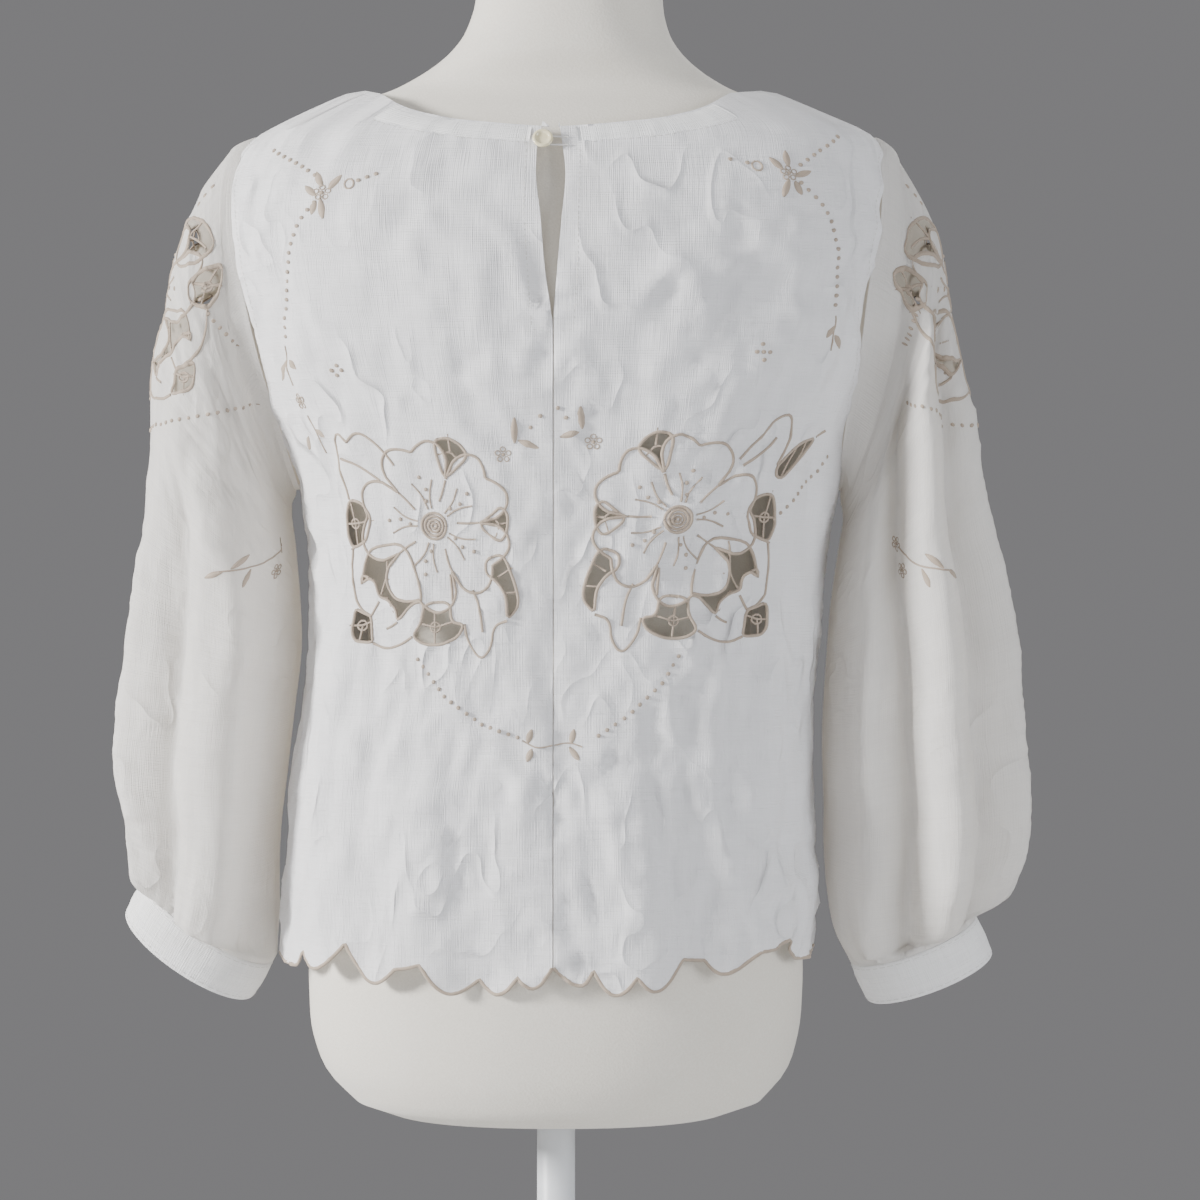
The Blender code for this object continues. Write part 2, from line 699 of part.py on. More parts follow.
def back_panel(name, side, hem, motif, made, collection):
    """One half of the back, with the slit's cut edge above the centre back seam."""
    outline = [(side * abs(u), v) for u, v in scallops(hem, HEM_SIDE, side)]
    outline[0] = (side * 0.5 * SEAM, outline[0][1])
    outline += [(side * u, v) for u, v in side_outline(HEM_SIDE, False)]
    outline += [(side * u, v) for u, v in neck_outline(NECK_BACK, side)][:-1]
    edges = column(SLIT, "left" if side > 0 else "right")
    for row, edge in zip(SLIT, edges):
        outline.append((along_of(edge * MM, row.height * MM) + side * 0.5 * SEAM, row.height * MM))
    low = hem[0].height
    steps = 10
    for k in range(1, steps):
        height = SLIT[-1].height + (low - SLIT[-1].height) * k / steps
        outline.append((side * 0.5 * SEAM, height * MM))
    cutwork = Cutwork(motif)
    grid = grid_points(-QUARTER, QUARTER, -262 * MM, 336 * MM, PANEL_GRID, PANEL_GRID)
    grid += seam_strip(outline, 0.0, side * QUARTER) + shoulder_grid(side * QUARTER, -side)
    flat, triangles = flat_panel(outline, grid, [cutwork])
    return cloth(name, flat, triangles, body_point, -1, CLOTH, made, collection)


def front_panel(made, collection):
    """The whole front, from side seam to side seam."""
    hem = []
    edge = QUARTER - 0.5 * SEAM
    scallop = 2 * edge / FRONT_SCALLOPS
    for k in range(FRONT_SCALLOPS * 3 + 1):
        along = -edge + scallop * k / 3
        hem.append((along, (HEM_SIDE - FRONT_SCALLOP_DROP * abs(math.sin(math.pi * k / 3))) * MM))
    right_half = side_outline(HEM_SIDE, True) + neck_outline(NECK_FRONT, 1, True)
    left_half = [(-u, v) for u, v in reversed(right_half[:-1])]
    outline = [(u + 2 * QUARTER, v) for u, v in hem + right_half + left_half]
    grid = grid_points(QUARTER, 3 * QUARTER, -262 * MM, 336 * MM, FRONT_GRID, FRONT_GRID)
    grid += seam_strip(outline, QUARTER, 3 * QUARTER)
    grid += shoulder_grid(QUARTER, 1) + shoulder_grid(3 * QUARTER, -1)
    flat, triangles = flat_panel(outline, grid, [])
    return cloth("front", flat, triangles, body_point, -1, CLOTH, made, collection)


class Sleeve:
    """A full sleeve as rings from the armhole down to the cuff."""

    def __init__(self, side, rows, folds, lean):
        self.side = side
        self.rows = rows
        self.folds = folds
        self.lean = lean
        steps = [0.0]
        for before, after in zip(rows, rows[1:]):
            outer = math.hypot(after.out_x - before.out_x, after.out_z - before.out_z)
            inner = math.hypot(after.in_x - before.in_x, after.in_z - before.in_z)
            steps.append(steps[-1] + max(outer, inner))
        self.keys = [SLEEVE_LEAD + step for step in steps]
        self.end = self.keys[-1]
        self.total = self.end + NECK_OF_SLEEVE
        self.net = np.array([[self.point(around, run) for run in NET_RUNS] for around in NET_TURNS])

    def armhole_point(self, angle):
        height, depth = armhole(angle)
        deep = body_size(height, "back" if depth >= 0 else "front")
        turn = math.acos(min(abs(depth) / deep, 1.0) ** (1 / ROUNDNESS))
        half = body_size(height, "left" if self.side > 0 else "right")
        across = half * math.sin(turn) ** ROUNDNESS
        return Vector((across, depth, height))

    def row(self, run, name):
        return smooth(run, self.keys, column(self.rows, name)) * MM

    def axis(self):
        """Way that the sleeve's end and the cuff point."""
        return Vector((math.sin(self.lean), 0, -math.cos(self.lean)))

    def ring_point(self, angle, run):
        run_here = max(run, SLEEVE_LEAD)
        outer = Vector((self.row(run_here, "out_x"), 0, self.row(run_here, "out_z")))
        inner = Vector((self.row(run_here, "in_x"), 0, self.row(run_here, "in_z")))
        middle = (outer + inner) / 2
        half = (outer - inner) / 2
        depth = self.row(run_here, "depth")
        droop = self.row(run_here, "droop")
        ahead = Vector((half.z, 0, -half.x)).normalized()
        lift = 0.0
        for fold in self.folds:
            turn = (math.degrees(angle) - fold.angle + 180) % 360 - 180
            lift += fold.depth * bump(turn, fold.width) * fade(self.end - run, fold.low, fold.high, 60)
        from_end = self.end - run
        gather = max(0.0, 1 - from_end / GATHER_REACH) * min(1.0, max(from_end, 0) / 10)
        lift += GATHER_DEPTH * gather * math.sin(GATHERS * angle + 0.9 * math.sin(2 * angle))
        lift *= min(1.0, max(0.0, from_end) / TUCK_REACH)
        lift *= min(1.0, max(0.0, run - SLEEVE_LEAD) / FOLD_START)
        lift *= 1 - INNER_CALM * max(0.0, -math.cos(angle)) ** 2
        point = middle + half * math.cos(angle) + Vector((0, depth * math.sin(angle), 0))
        point += ahead * droop * math.sin(angle)
        point.x += BULGE * MM * max(0.0, 1 - (run_here - SLEEVE_LEAD) / BULGE_REACH) * math.sin(angle) ** 2
        away = half.normalized() * math.cos(angle) + Vector((0, math.sin(angle), 0))
        return point + away * lift * MM

    def point(self, around, run):
        """Point of the sleeve: around is the reference arc from its outer line, run goes down it."""
        angle = around / SLEEVE_REF
        run = run / MM
        if run < SLEEVE_LEAD:
            start = self.armhole_point(angle) + Vector((SEAM, 0, 0))
            step = start + Vector((NECK_OF_SLEEVE * MM, 0, 0))
            if run <= NECK_OF_SLEEVE:
                made = start.lerp(step, run / NECK_OF_SLEEVE)
            else:
                share = (run - NECK_OF_SLEEVE) / (SLEEVE_LEAD - NECK_OF_SLEEVE)
                made = step.lerp(self.ring_point(angle, SLEEVE_LEAD), share)
                made.x += SLEEVE_CAP_LIFT * MM * math.sin(math.pi * share) * max(0.0, math.cos(angle))
        elif run <= self.end:
            made = self.ring_point(angle, run)
        else:
            made = self.ring_point(angle, self.end) + self.axis() * (run - self.end) * MM
        return Vector((self.side * made.x, made.y, LEVEL + made.z))

    def flat(self, places):
        """Pattern places of points that are given level distances round the sleeve, and heights."""
        found = []
        for distance, height in places:
            runs, level = [], []
            for line in self.net:
                drop = np.maximum.accumulate(LEVEL - line[:, 2])
                run = np.interp(-height, drop, NET_RUNS)
                runs.append(run)
                level.append([np.interp(run, NET_RUNS, line[:, axis]) for axis in range(3)])
            steps = np.linalg.norm(np.diff(level, axis=0), axis=1)
            lengths = np.concatenate([[0], np.cumsum(steps)])
            lengths -= np.interp(0, NET_TURNS, lengths)
            around = np.interp(distance, lengths, NET_TURNS)
            found.append((float(around), float(np.interp(around, NET_TURNS, runs))))
        return found


def sleeve_runs(sleeve):
    """Rows down the sleeve, closer together at its gathered end."""
    runs = [NECK_OF_SLEEVE, 0.5 * (NECK_OF_SLEEVE + SLEEVE_LEAD)]
    wide = SLEEVE_ROWS - 4
    body_end = sleeve.end - GATHER_REACH
    runs += [SLEEVE_LEAD + (body_end - SLEEVE_LEAD) * k / wide for k in range(wide + 1)]
    runs += [sleeve.end - GATHER_REACH * (1 - t) for t in (0.4, 0.75, 1.0)]
    return [run * MM for run in runs]


def sleeve_half(name, sleeve, first, last, motif, made, collection):
    """Half of the sleeve's tube, between two lines down it."""
    low = first * SLEEVE_REF + SPLIT_GAP / 2
    high = last * SLEEVE_REF - SPLIT_GAP / 2
    end = (sleeve.total - 0.5 * SEAM / MM) * MM
    runs = sleeve_runs(sleeve)
    columns = round(SLEEVE_COLUMNS * (last - first) / (2 * math.pi))
    across = [low + (high - low) * k / columns for k in range(columns + 1)]
    outline = [(u, 0.0) for u in across] + [(high, v) for v in runs]
    outline += [(u, end) for u in reversed(across)] + [(low, v) for v in reversed(runs)]
    grid = [(u, v) for v in runs for u in across[1:-1]]
    cutworks = [Cutwork(motif, sleeve)] if motif else []
    flat, triangles = flat_panel(outline, grid, cutworks)
    return cloth(name, flat, triangles, sleeve.point, -sleeve.side, CLOTH, made, collection)


def cuff(name, sleeve, made, collection):
    """Narrow band on the end of the sleeve."""
    columns = SLEEVE_COLUMNS
    levels = (0.0, 0.5, 1.0)
    axis = sleeve.axis()
    points = []
    for level in levels:
        swell = 1 + CUFF_SWELL * math.sin(math.pi * level)
        for k in range(columns):
            angle = 2 * math.pi * k / columns
            base = sleeve.ring_point(angle, sleeve.end)
            middle = sleeve.ring_point(0, sleeve.end).lerp(sleeve.ring_point(math.pi, sleeve.end), 0.5)
            here = middle + (base - middle) * swell
            here += axis * (NECK_OF_SLEEVE + 0.5 * SEAM / MM + CUFF_HEIGHT * level) * MM
            points.append(Vector((sleeve.side * here.x, here.y, LEVEL + here.z)))
    faces = []
    for row in range(len(levels) - 1):
        for k in range(columns):
            a, b = row * columns + k, row * columns + (k + 1) % columns
            faces.append((a, b, b + columns, a + columns))
    if sleeve.side < 0:
        faces = [tuple(reversed(face)) for face in faces]
    item = add_object(name, mesh_from(name, points, faces), made, collection)
    work = bmesh.new()
    work.from_mesh(item.data)
    centre = sum((v.co for v in work.verts), Vector()) / len(work.verts)
    if sum(f.normal.dot(f.calc_center_median() - centre) for f in work.faces) < 0:
        bmesh.ops.reverse_faces(work, faces=work.faces)
    work.to_mesh(item.data)
    work.free()
    solid = item.modifiers.new("Wall", "SOLIDIFY")
    solid.thickness = CUFF_CLOTH
    solid.offset = -1
    item.data.shade_smooth()
    return item


def form_ring(row, columns):
    ring = []
    for k in range(columns):
        angle = 2 * math.pi * k / columns
        side, behind = math.cos(angle), math.sin(angle)
        across = math.copysign(abs(side) ** 0.88, side) * row.half + row.shift
        depth = math.copysign(abs(behind) ** 0.88, behind) * (row.back if behind > 0 else row.front)
        ring.append(Vector((across * MM, depth * MM, LEVEL + row.height * MM)))
    return ring


def dress_form(made, collection):
    """Limbless torso with its neck, a loft through the rows of the form."""
    points = [point for row in FORM for point in form_ring(row, FORM_COLUMNS)]
    faces = []
    for row in range(len(FORM) - 1):
        for k in range(FORM_COLUMNS):
            a = row * FORM_COLUMNS + k
            b = row * FORM_COLUMNS + (k + 1) % FORM_COLUMNS
            faces.append((a, b, b + FORM_COLUMNS, a + FORM_COLUMNS))
    faces.append(tuple(reversed(range(FORM_COLUMNS))))
    last = (len(FORM) - 1) * FORM_COLUMNS
    faces.append(tuple(range(last, last + FORM_COLUMNS)))
    item = add_object("form_torso", mesh_from("form_torso", points, faces), made, collection)
    item.data.shade_smooth()
    return item


def turned(name, profile, steps, made, collection):
    """Turned shape from a profile that starts and ends on the axis, top to bottom."""
    mesh = bpy.data.meshes.new(name)
    points = [(radius, 0.0, height) for radius, height in profile]
    mesh.from_pydata(points, [(k, k + 1) for k in range(len(points) - 1)], [])
    item = add_object(name, mesh, made, collection)
    screw = item.modifiers.new("Turn", "SCREW")
    screw.steps = steps
    screw.render_steps = steps
    screw.use_merge_vertices = True
    screw.merge_threshold = 0.00001
    return item


def stand(made, collection):
    """Round base with a boss, and the plain pole."""
    boss = 22 * MM
    top = BASE_THICK + 14 * MM
    base = turned("stand_base", [
        (0.0, BASE_THICK), (boss - 2 * MM, BASE_THICK), (BASE_RADIUS - 14 * MM, BASE_THICK - 5 * MM),
        (BASE_RADIUS - 3 * MM, BASE_THICK - 9 * MM), (BASE_RADIUS, 6 * MM), (BASE_RADIUS, 2 * MM),
        (BASE_RADIUS - 2 * MM, 0.0), (0.0, 0.0)], 36, made, collection)
    pole_low = BASE_THICK + TOUCH
    pole_high = LEVEL + FORM[0].height * MM - TOUCH
    pole = turned("stand_pole", [
        (0.0, pole_high), (POLE_RADIUS, pole_high), (POLE_RADIUS, top), (boss - 4 * MM, top),
        (boss - 2 * MM, top - 2 * MM), (boss - 2 * MM, pole_low), (0.0, pole_low)], 20, made, collection)
    return base, pole


def neck_cap(made, collection):
    row = FORM[-1]
    low = LEVEL + row.height * MM + TOUCH
    cap = turned("form_neck_cap", [
        (0.0, low + CAP_HEIGHT), (0.6, low + CAP_HEIGHT - 0.001), (0.9, low + CAP_HEIGHT - 0.003),
        (1.0, low + 0.002), (1.0, low), (0.0, low)], 28, made, collection)
    for vertex in cap.data.vertices:
        vertex.co.x *= row.half * MM
    cap.location.x = row.shift * MM
    cap.scale.y = row.back / row.half
    return cap


def button_and_loop(pearl, thread, collection):
    """Button on the left edge of the slit, and the thread loop from the right edge round it."""
    height = BUTTON_HEIGHT * MM
    seat = body_point(along_of(BUTTON_OUT * MM, height), height)
    under = SHANK_LENGTH
    button = turned("button", [
        (0.0, under + 0.55 * BUTTON_THICK), (0.55 * BUTTON_RADIUS, under + 0.6 * BUTTON_THICK),
        (0.7 * BUTTON_RADIUS, under + BUTTON_THICK), (0.92 * BUTTON_RADIUS, under + 0.92 * BUTTON_THICK),
        (BUTTON_RADIUS, under + 0.5 * BUTTON_THICK), (0.85 * BUTTON_RADIUS, under), (SHANK_RADIUS, under),
        (SHANK_RADIUS, 0.0), (0.0, 0.0)], 16, pearl, collection)
    lean = math.atan2(body_size(height - 8 * MM, "back") - body_size(height + 8 * MM, "back"), 16 * MM)
    away = Vector((0, math.cos(lean), math.sin(lean)))
    rise = Vector((0, -math.sin(lean), math.cos(lean)))
    button.rotation_euler = (lean - math.pi / 2, 0, 0)
    button.location = seat + away * TOUCH
    curve = bpy.data.curves.new("button_loop", "CURVE")
    curve.dimensions = "3D"
    curve.bevel_depth = LOOP_RADIUS
    curve.bevel_resolution = 2
    curve.use_fill_caps = True
    spline = curve.splines.new("POLY")
    middle = seat + away * (LOOP_RADIUS + 1.4 * TOUCH)
    turn = [math.radians(110 - 220 * k / 8) for k in range(9)]
    bend = [(LOOP_BEND * math.cos(angle), LOOP_BEND * math.sin(angle)) for angle in turn]
    flat = [(-LOOP_REACH, 2.4 * MM), (-0.5 * LOOP_REACH, 2.9 * MM)] + bend
    flat += [(-0.5 * LOOP_REACH, -3.1 * MM), (-LOOP_REACH, -3.4 * MM)]
    route = [middle + Vector((across, 0, 0)) + rise * up for across, up in flat]
    spline.points.add(len(route) - 1)
    for point, place in zip(spline.points, route):
        point.co = (*place, 1.0)
    loop = bpy.data.objects.new("button_loop", curve)
    curve.materials.append(thread)
    collection.objects.link(loop)
    return button, loop


def clear_scene():
    for item in list(bpy.data.objects):
        bpy.data.objects.remove(item, do_unlink=True)


def main():
    clear_scene()
    collection = bpy.data.collections.new("puff_sleeve_blouse_on_dress_form")
    bpy.context.scene.collection.children.link(collection)
    linen = material("linen", LINEN, 0.85)
    jersey = material("jersey cover", JERSEY, 0.9)
    paint = material("painted stand", STAND, 0.45)
    pearl = material("pearly button", PEARL, 0.25)
    thread = material("thread", THREAD, 0.8)

    stand(paint, collection)
    dress_form(jersey, collection)
    neck_cap(jersey, collection)
    back_panel("back_left", 1, HEM_LEFT, MOTIF_BACK_LEFT, linen, collection)
    back_panel("back_right", -1, HEM_RIGHT, MOTIF_BACK_RIGHT, linen, collection)
    front_panel(linen, collection)
    pairs = (("left", 1, SLEEVE_LEFT, FOLDS_LEFT, CUFF_LEAN_LEFT, MOTIF_SLEEVE_LEFT),
             ("right", -1, SLEEVE_RIGHT, FOLDS_RIGHT, CUFF_LEAN_RIGHT, MOTIF_SLEEVE_RIGHT))
    for name, side, rows, folds, lean, motif in pairs:
        sleeve = Sleeve(side, rows, folds, lean)
        split = SLEEVE_SPLIT
        sleeve_half("sleeve_" + name + "_outer", sleeve, split, split + math.pi, motif, linen, collection)
        sleeve_half("sleeve_" + name + "_inner", sleeve, split + math.pi, split + 2 * math.pi, None,
                    linen, collection)
        cuff("cuff_" + name, sleeve, linen, collection)
    button_and_loop(pearl, thread, collection)


main()
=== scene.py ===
"""Looks of the puff sleeve blouse and its dress form: cloth, embroidery, sewing, light and camera.

The cloth pieces repeat the solids' own surfaces, finer and with creases, so each lies where its solid is.
"""
import math
from collections import namedtuple

import bmesh
import bpy
import numpy as np
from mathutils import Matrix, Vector, noise
from mathutils.geometry import delaunay_2d_cdt


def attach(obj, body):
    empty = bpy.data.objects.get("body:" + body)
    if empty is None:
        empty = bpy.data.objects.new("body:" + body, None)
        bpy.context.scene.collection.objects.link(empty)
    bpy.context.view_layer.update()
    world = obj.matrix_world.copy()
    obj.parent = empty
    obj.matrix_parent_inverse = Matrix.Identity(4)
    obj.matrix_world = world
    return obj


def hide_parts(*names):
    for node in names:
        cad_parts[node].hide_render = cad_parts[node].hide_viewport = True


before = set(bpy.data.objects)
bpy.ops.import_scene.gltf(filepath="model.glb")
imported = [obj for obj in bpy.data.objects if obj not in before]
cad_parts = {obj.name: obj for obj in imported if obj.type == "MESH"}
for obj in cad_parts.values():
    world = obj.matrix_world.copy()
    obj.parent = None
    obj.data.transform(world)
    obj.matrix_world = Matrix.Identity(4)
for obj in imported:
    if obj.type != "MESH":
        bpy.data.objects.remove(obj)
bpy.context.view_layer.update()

MM = 0.001
LEVEL = 842 * MM
SEAM = 0.4 * MM
ROUNDNESS = 0.8
REF_WIDTH, REF_DEPTH = 172 * MM, 112 * MM
LINEN_WALL = 0.8 * MM
PANEL_STEP = 4.6 * MM

# Camera: how far behind the form it stands, how far aside, and the width of view at the form
CAMERA_BACK = 1.8
CAMERA_ASIDE = -0.029
VIEW_WIDTH = 0.792

# Blouse body: half widths at the wearer's left and right, depths behind and in front
BodyRow = namedtuple("BodyRow", "height left right back front")
BODY = [
    BodyRow(-265, 178, 170, 116, 120),
    BodyRow(-241, 178, 168, 116, 120),
    BodyRow(-172, 176, 170, 115, 120),
    BodyRow(-106, 171, 168, 113, 119),
    BodyRow(-66, 165, 168, 111, 118),
    BodyRow(-26, 160, 172, 109, 118),
    BodyRow(26, 160, 176, 109, 119),
    BodyRow(73, 168, 184, 110, 122),
    BodyRow(110, 182, 192, 110, 122),
    BodyRow(150, 199, 205, 109, 119),
    BodyRow(200, 214, 215, 105, 112),
    BodyRow(250, 220, 222, 96, 98),
    BodyRow(280, 213, 218, 86, 86),
    BodyRow(305, 193, 206, 75, 75),
    BodyRow(320, 163, 172, 67, 67),
    BodyRow(337, 124, 133, 56, 56),
]
ARMHOLE_TOP = 305
ARMHOLE_BOTTOM = 73
ARMHOLE_DEPTH = 50
SIDE_NECK_HEIGHT = 336

NeckRow = namedtuple("NeckRow", "out height")
NECK_BACK = [NeckRow(0, 299), NeckRow(37, 302), NeckRow(73, 307), NeckRow(97, 315), NeckRow(112, 325)]
NECK_FRONT = [NeckRow(0, 262), NeckRow(38, 266), NeckRow(72, 278), NeckRow(98, 297), NeckRow(114, 319)]

SlitRow = namedtuple("SlitRow", "height left right")
SLIT = [
    SlitRow(303, 7, -3),
    SlitRow(288, 10, -5),
    SlitRow(270, 11, -7),
    SlitRow(240, 8, -5),
    SlitRow(205, 5, -2),
    SlitRow(178, 1, 0),
]

HemRow = namedtuple("HemRow", "out height")
HEM_LEFT = [
    HemRow(0, -227), HemRow(13, -240), HemRow(22, -233), HemRow(35, -244), HemRow(47, -235),
    HemRow(64, -244), HemRow(82, -226), HemRow(97, -229), HemRow(113, -239), HemRow(130, -215),
    HemRow(147, -232), HemRow(158, -223), HemRow(165, -233),
]
HEM_RIGHT = [
    HemRow(0, -227), HemRow(17, -238), HemRow(25, -229), HemRow(38, -244), HemRow(51, -233),
    HemRow(62, -242), HemRow(81, -223), HemRow(95, -224), HemRow(105, -233), HemRow(126, -220),
    HemRow(146, -215), HemRow(156, -229),
]
HEM_SIDE = -226
FRONT_SCALLOPS = 12

Fold = namedtuple("Fold", "at width depth low high")
BODY_FOLDS = [
    Fold(150, 16, 5, -262, -30),
    Fold(118, 14, -4, -262, -60),
    Fold(84, 18, 4, -262, -120),
    Fold(44, 15, -4, -262, -150),
    Fold(-52, 17, 4, -262, -130),
    Fold(-96, 16, -4, -262, -90),
    Fold(-140, 15, 5, -262, -20),
    Fold(-168, 12, -5, 40, 260),
    Fold(166, 12, -4, 90, 250),
    Fold(290, 20, 5, -262, 20),
    Fold(340, 20, -5, -262, 60),
    Fold(395, 22, 5, -262, 10),
    Fold(480, 22, -5, -262, 40),
    Fold(545, 20, 5, -262, 80),
]

SleeveRow = namedtuple("SleeveRow", "out_x out_z in_x in_z depth droop")
SLEEVE_LEFT = [
    SleeveRow(214, 296, 172, 69, 51, 0),
    SleeveRow(232, 270, 174, 65, 55, 0),
    SleeveRow(248, 230, 175, 60, 59, 1),
    SleeveRow(258, 191, 175, 52, 61, 2),
    SleeveRow(265, 148, 173, 37, 62, 3),
    SleeveRow(267, 99, 171, 17, 62, 3),
    SleeveRow(270, 53, 169, -8, 62, 3),
    SleeveRow(274, -13, 169, -40, 63, 4),
    SleeveRow(279, -66, 173, -73, 65, 5),
    SleeveRow(281, -109, 178, -116, 65, 6),
    SleeveRow(275, -140, 182, -150, 62, 10),
    SleeveRow(272, -158, 184, -185, 56, 18),
    SleeveRow(270, -170, 185, -213, 45, 24),
    SleeveRow(268, -178, 185, -235, 31, 9),
]
SLEEVE_RIGHT = [
    SleeveRow(224, 292, 188, 64, 51, 0),
    SleeveRow(236, 272, 189, 60, 55, 0),
    SleeveRow(249, 245, 190, 53, 59, 1),
    SleeveRow(258, 198, 189, 43, 61, 2),
    SleeveRow(265, 155, 187, 30, 62, 3),
    SleeveRow(269, 112, 184, 12, 62, 3),
    SleeveRow(274, 66, 181, -11, 62, 3),
    SleeveRow(284, 26, 179, -38, 64, 4),
    SleeveRow(293, -26, 177, -66, 66, 5),
    SleeveRow(295, -66, 176, -96, 67, 6),
    SleeveRow(299, -105, 177, -134, 66, 7),
    SleeveRow(301, -148, 177, -165, 62, 9),
    SleeveRow(296, -173, 179, -192, 55, 12),
    SleeveRow(288, -192, 184, -218, 43, 13),
    SleeveRow(275, -204, 193, -236, 29, 6),
]
CUFF_HEIGHT = 27
NET_TURNS = np.linspace(-100, 160, 27) * MM
NET_RUNS = np.linspace(0, 330, 34) * MM
CUFF_LEAN_LEFT, CUFF_LEAN_RIGHT = 0.52, 0.42
NECK_OF_SLEEVE = 3.5
SLEEVE_LEAD = 26.0
BULGE, BULGE_REACH = 15, 120
SLEEVE_REF = 60 * MM
GATHERS = 9
FOLD_MORE = 2.1
GATHER_RISE, GATHER_REACH = 3.0, 62
PLEATS, PLEAT_DEPTH, PLEAT_REACH = 15, 5.5, 44
SleeveFold = namedtuple("SleeveFold", "angle width depth low high")
FOLDS_LEFT = [
    SleeveFold(30, 14, 5, 0, 235),
    SleeveFold(66, 15, -6, 10, 300),
    SleeveFold(112, 16, 5, 5, 260),
    SleeveFold(-60, 16, -5, 0, 250),
    SleeveFold(-110, 16, 5, 0, 240),
]
FOLDS_RIGHT = [
    SleeveFold(22, 11, 6, 0, 330),
    SleeveFold(48, 12, -8, 0, 420),
    SleeveFold(78, 14, 8, 0, 430),
    SleeveFold(104, 12, -9, 5, 430),
    SleeveFold(130, 13, 6, 5, 400),
    SleeveFold(-40, 16, -5, 0, 280),
    SleeveFold(-95, 18, 6, 0, 300),
]

Petal = namedtuple("Petal", "angle reach")
PETALS = [Petal(172, 53), Petal(101, 53), Petal(39, 53), Petal(-32, 52), Petal(-105, 54)]
PETAL_VALLEY = 0.57
PETAL_NOTCH = 0.12
Spot = namedtuple("Spot", "across up")


def spots(*pairs):
    return [Spot(*pair) for pair in pairs]


WINDOWS = {
    "top": spots((6, 53), (15.6, 55), (22.5, 50.5), (27, 43), (13, 31), (9, 31)),
    "side": spots((30, 0), (39, 7), (45, 12), (50, 7), (49, -4), (44, -11)),
    "side_low": spots((34, -21), (46, -17), (54, -36), (56.5, -49), (48.5, -59), (48, -44), (42, -35),
                      (34, -30)),
    "bottom": spots((-8, -48), (9, -47), (11, -60), (20, -61), (16, -69), (5, -74), (-7, -74), (-16, -69),
                    (-10, -60)),
    "hook": spots((-46, -13), (-20, -10), (-9, -47), (-17, -48), (-28, -60), (-30, -52), (-36, -46),
                  (-43, -44), (-45, -35), (-50, -32), (-56, -36), (-52, -22)),
    "far_side": spots((-60, 17.5), (-50, 15), (-44, 6), (-48, -5), (-50, -9), (-61, -14), (-65, -4),
                      (-64, 7)),
    "far_low": spots((-62, -51), (-55, -54), (-49, -56), (-47, -68), (-46, -73), (-61.5, -72)),
}
BARS = [
    spots((-33, -13), (-37, -33), (-43, -46)),
    spots((-37, -33), (-25, -34)),
    spots((-37, -44), (-30, -57)),
    spots((-13, -60), (0, -63), (14, -59)),
    spots((0, -63), (-2, -46)),
    spots((0, -63), (0, -76)),
    spots((-67, 2), (-57, 2), (-42, 4)),
    spots((-57, 2), (-60, 19)),
    spots((-57, 2), (-57, -16)),
    spots((-64, -62), (-55, -62), (-45, -58)),
    spots((-55, -62), (-57, -75)),
    spots((42, -32), (52, -26)),
    spots((45, -42), (58, -41)),
    spots((37, 7), (44, 1), (41, -8)),
    spots((44, 1), (51, 2)),
    spots((7, 44), (16, 46), (22, 39)),
    spots((16, 46), (16, 57)),
]
SLEEVE_WINDOW = spots((-13, 50), (-22, 57), (-34, 53), (-45, 43), (-52, 29), (-42, 19), (-25, 20), (-15, 34))
ARM_WINDOW = spots((-60, 35), (-74, 49), (-92, 54), (-80, 43), (-66, 27), (-61, 27))
ARM_BARS = [spots((-64, 27), (-74, 49)), spots((-72, 33), (-83, 52))]
ARM_LEAF = [
    spots((-34, 38), (-44, 50), (-54, 63), (-62, 68), (-66, 60), (-64, 48), (-60, 35)),
    spots((-36, 34), (-48, 42), (-56, 52)),
    spots((-92, 54), (-99, 58)),
]
SLEEVE_BARS = [spots((-24, 26), (-29, 40), (-36, 56)), spots((-29, 40), (-46, 32))]
Motif = namedtuple("Motif", "across up wide tall turn")
MOTIF_BACK_LEFT = Motif(79, 46, 1.0, 1.0, -1)
MOTIF_BACK_RIGHT = Motif(-74, 50, 1.0, 1.0, 1)
MOTIF_SLEEVE_LEFT = Motif(2, 198, 1.15, 0.9, -1)
MOTIF_SLEEVE_RIGHT = Motif(5, 197, 1.15, 0.9, -1)

# Sewn lines of the motif that bound no gap: leaves, scrolls and veins
UPPER_LEAF = [
    spots((-50, 53), (-42, 60), (-33, 54), (-26, 45), (-22, 38)),
    spots((-50, 53), (-58, 60), (-61, 55)),
    spots((-61, 55), (-63, 42), (-62, 30), (-60, 17.5)),
    spots((-59, 43), (-48, 39), (-34, 29)),
]
LEAF_LINES = [
    spots((-61, -14), (-64, -28), (-63, -43), (-57, -52), (-49, -56)),
    spots((-62, -14), (-50, -9)),
    spots((-56, -36), (-56, -30), (-50, -32)),
    spots((-28, -60), (-33, -63), (-36, -64)),
    spots((-46, -73), (-36, -77), (-24, -74), (-16, -69)),
    spots((-49, -56), (-43, -47)),
    spots((-17, -48), (-12, -46), (-8, -50), (-10, -60)),
    spots((20, -61), (22, -72), (31, -84), (38, -76), (39, -62), (48.5, -59)),
    spots((10, -30), (11, -47)),
    spots((25, -40), (30, -50), (32, -66)),
]
DISC_RADIUS = 8.2

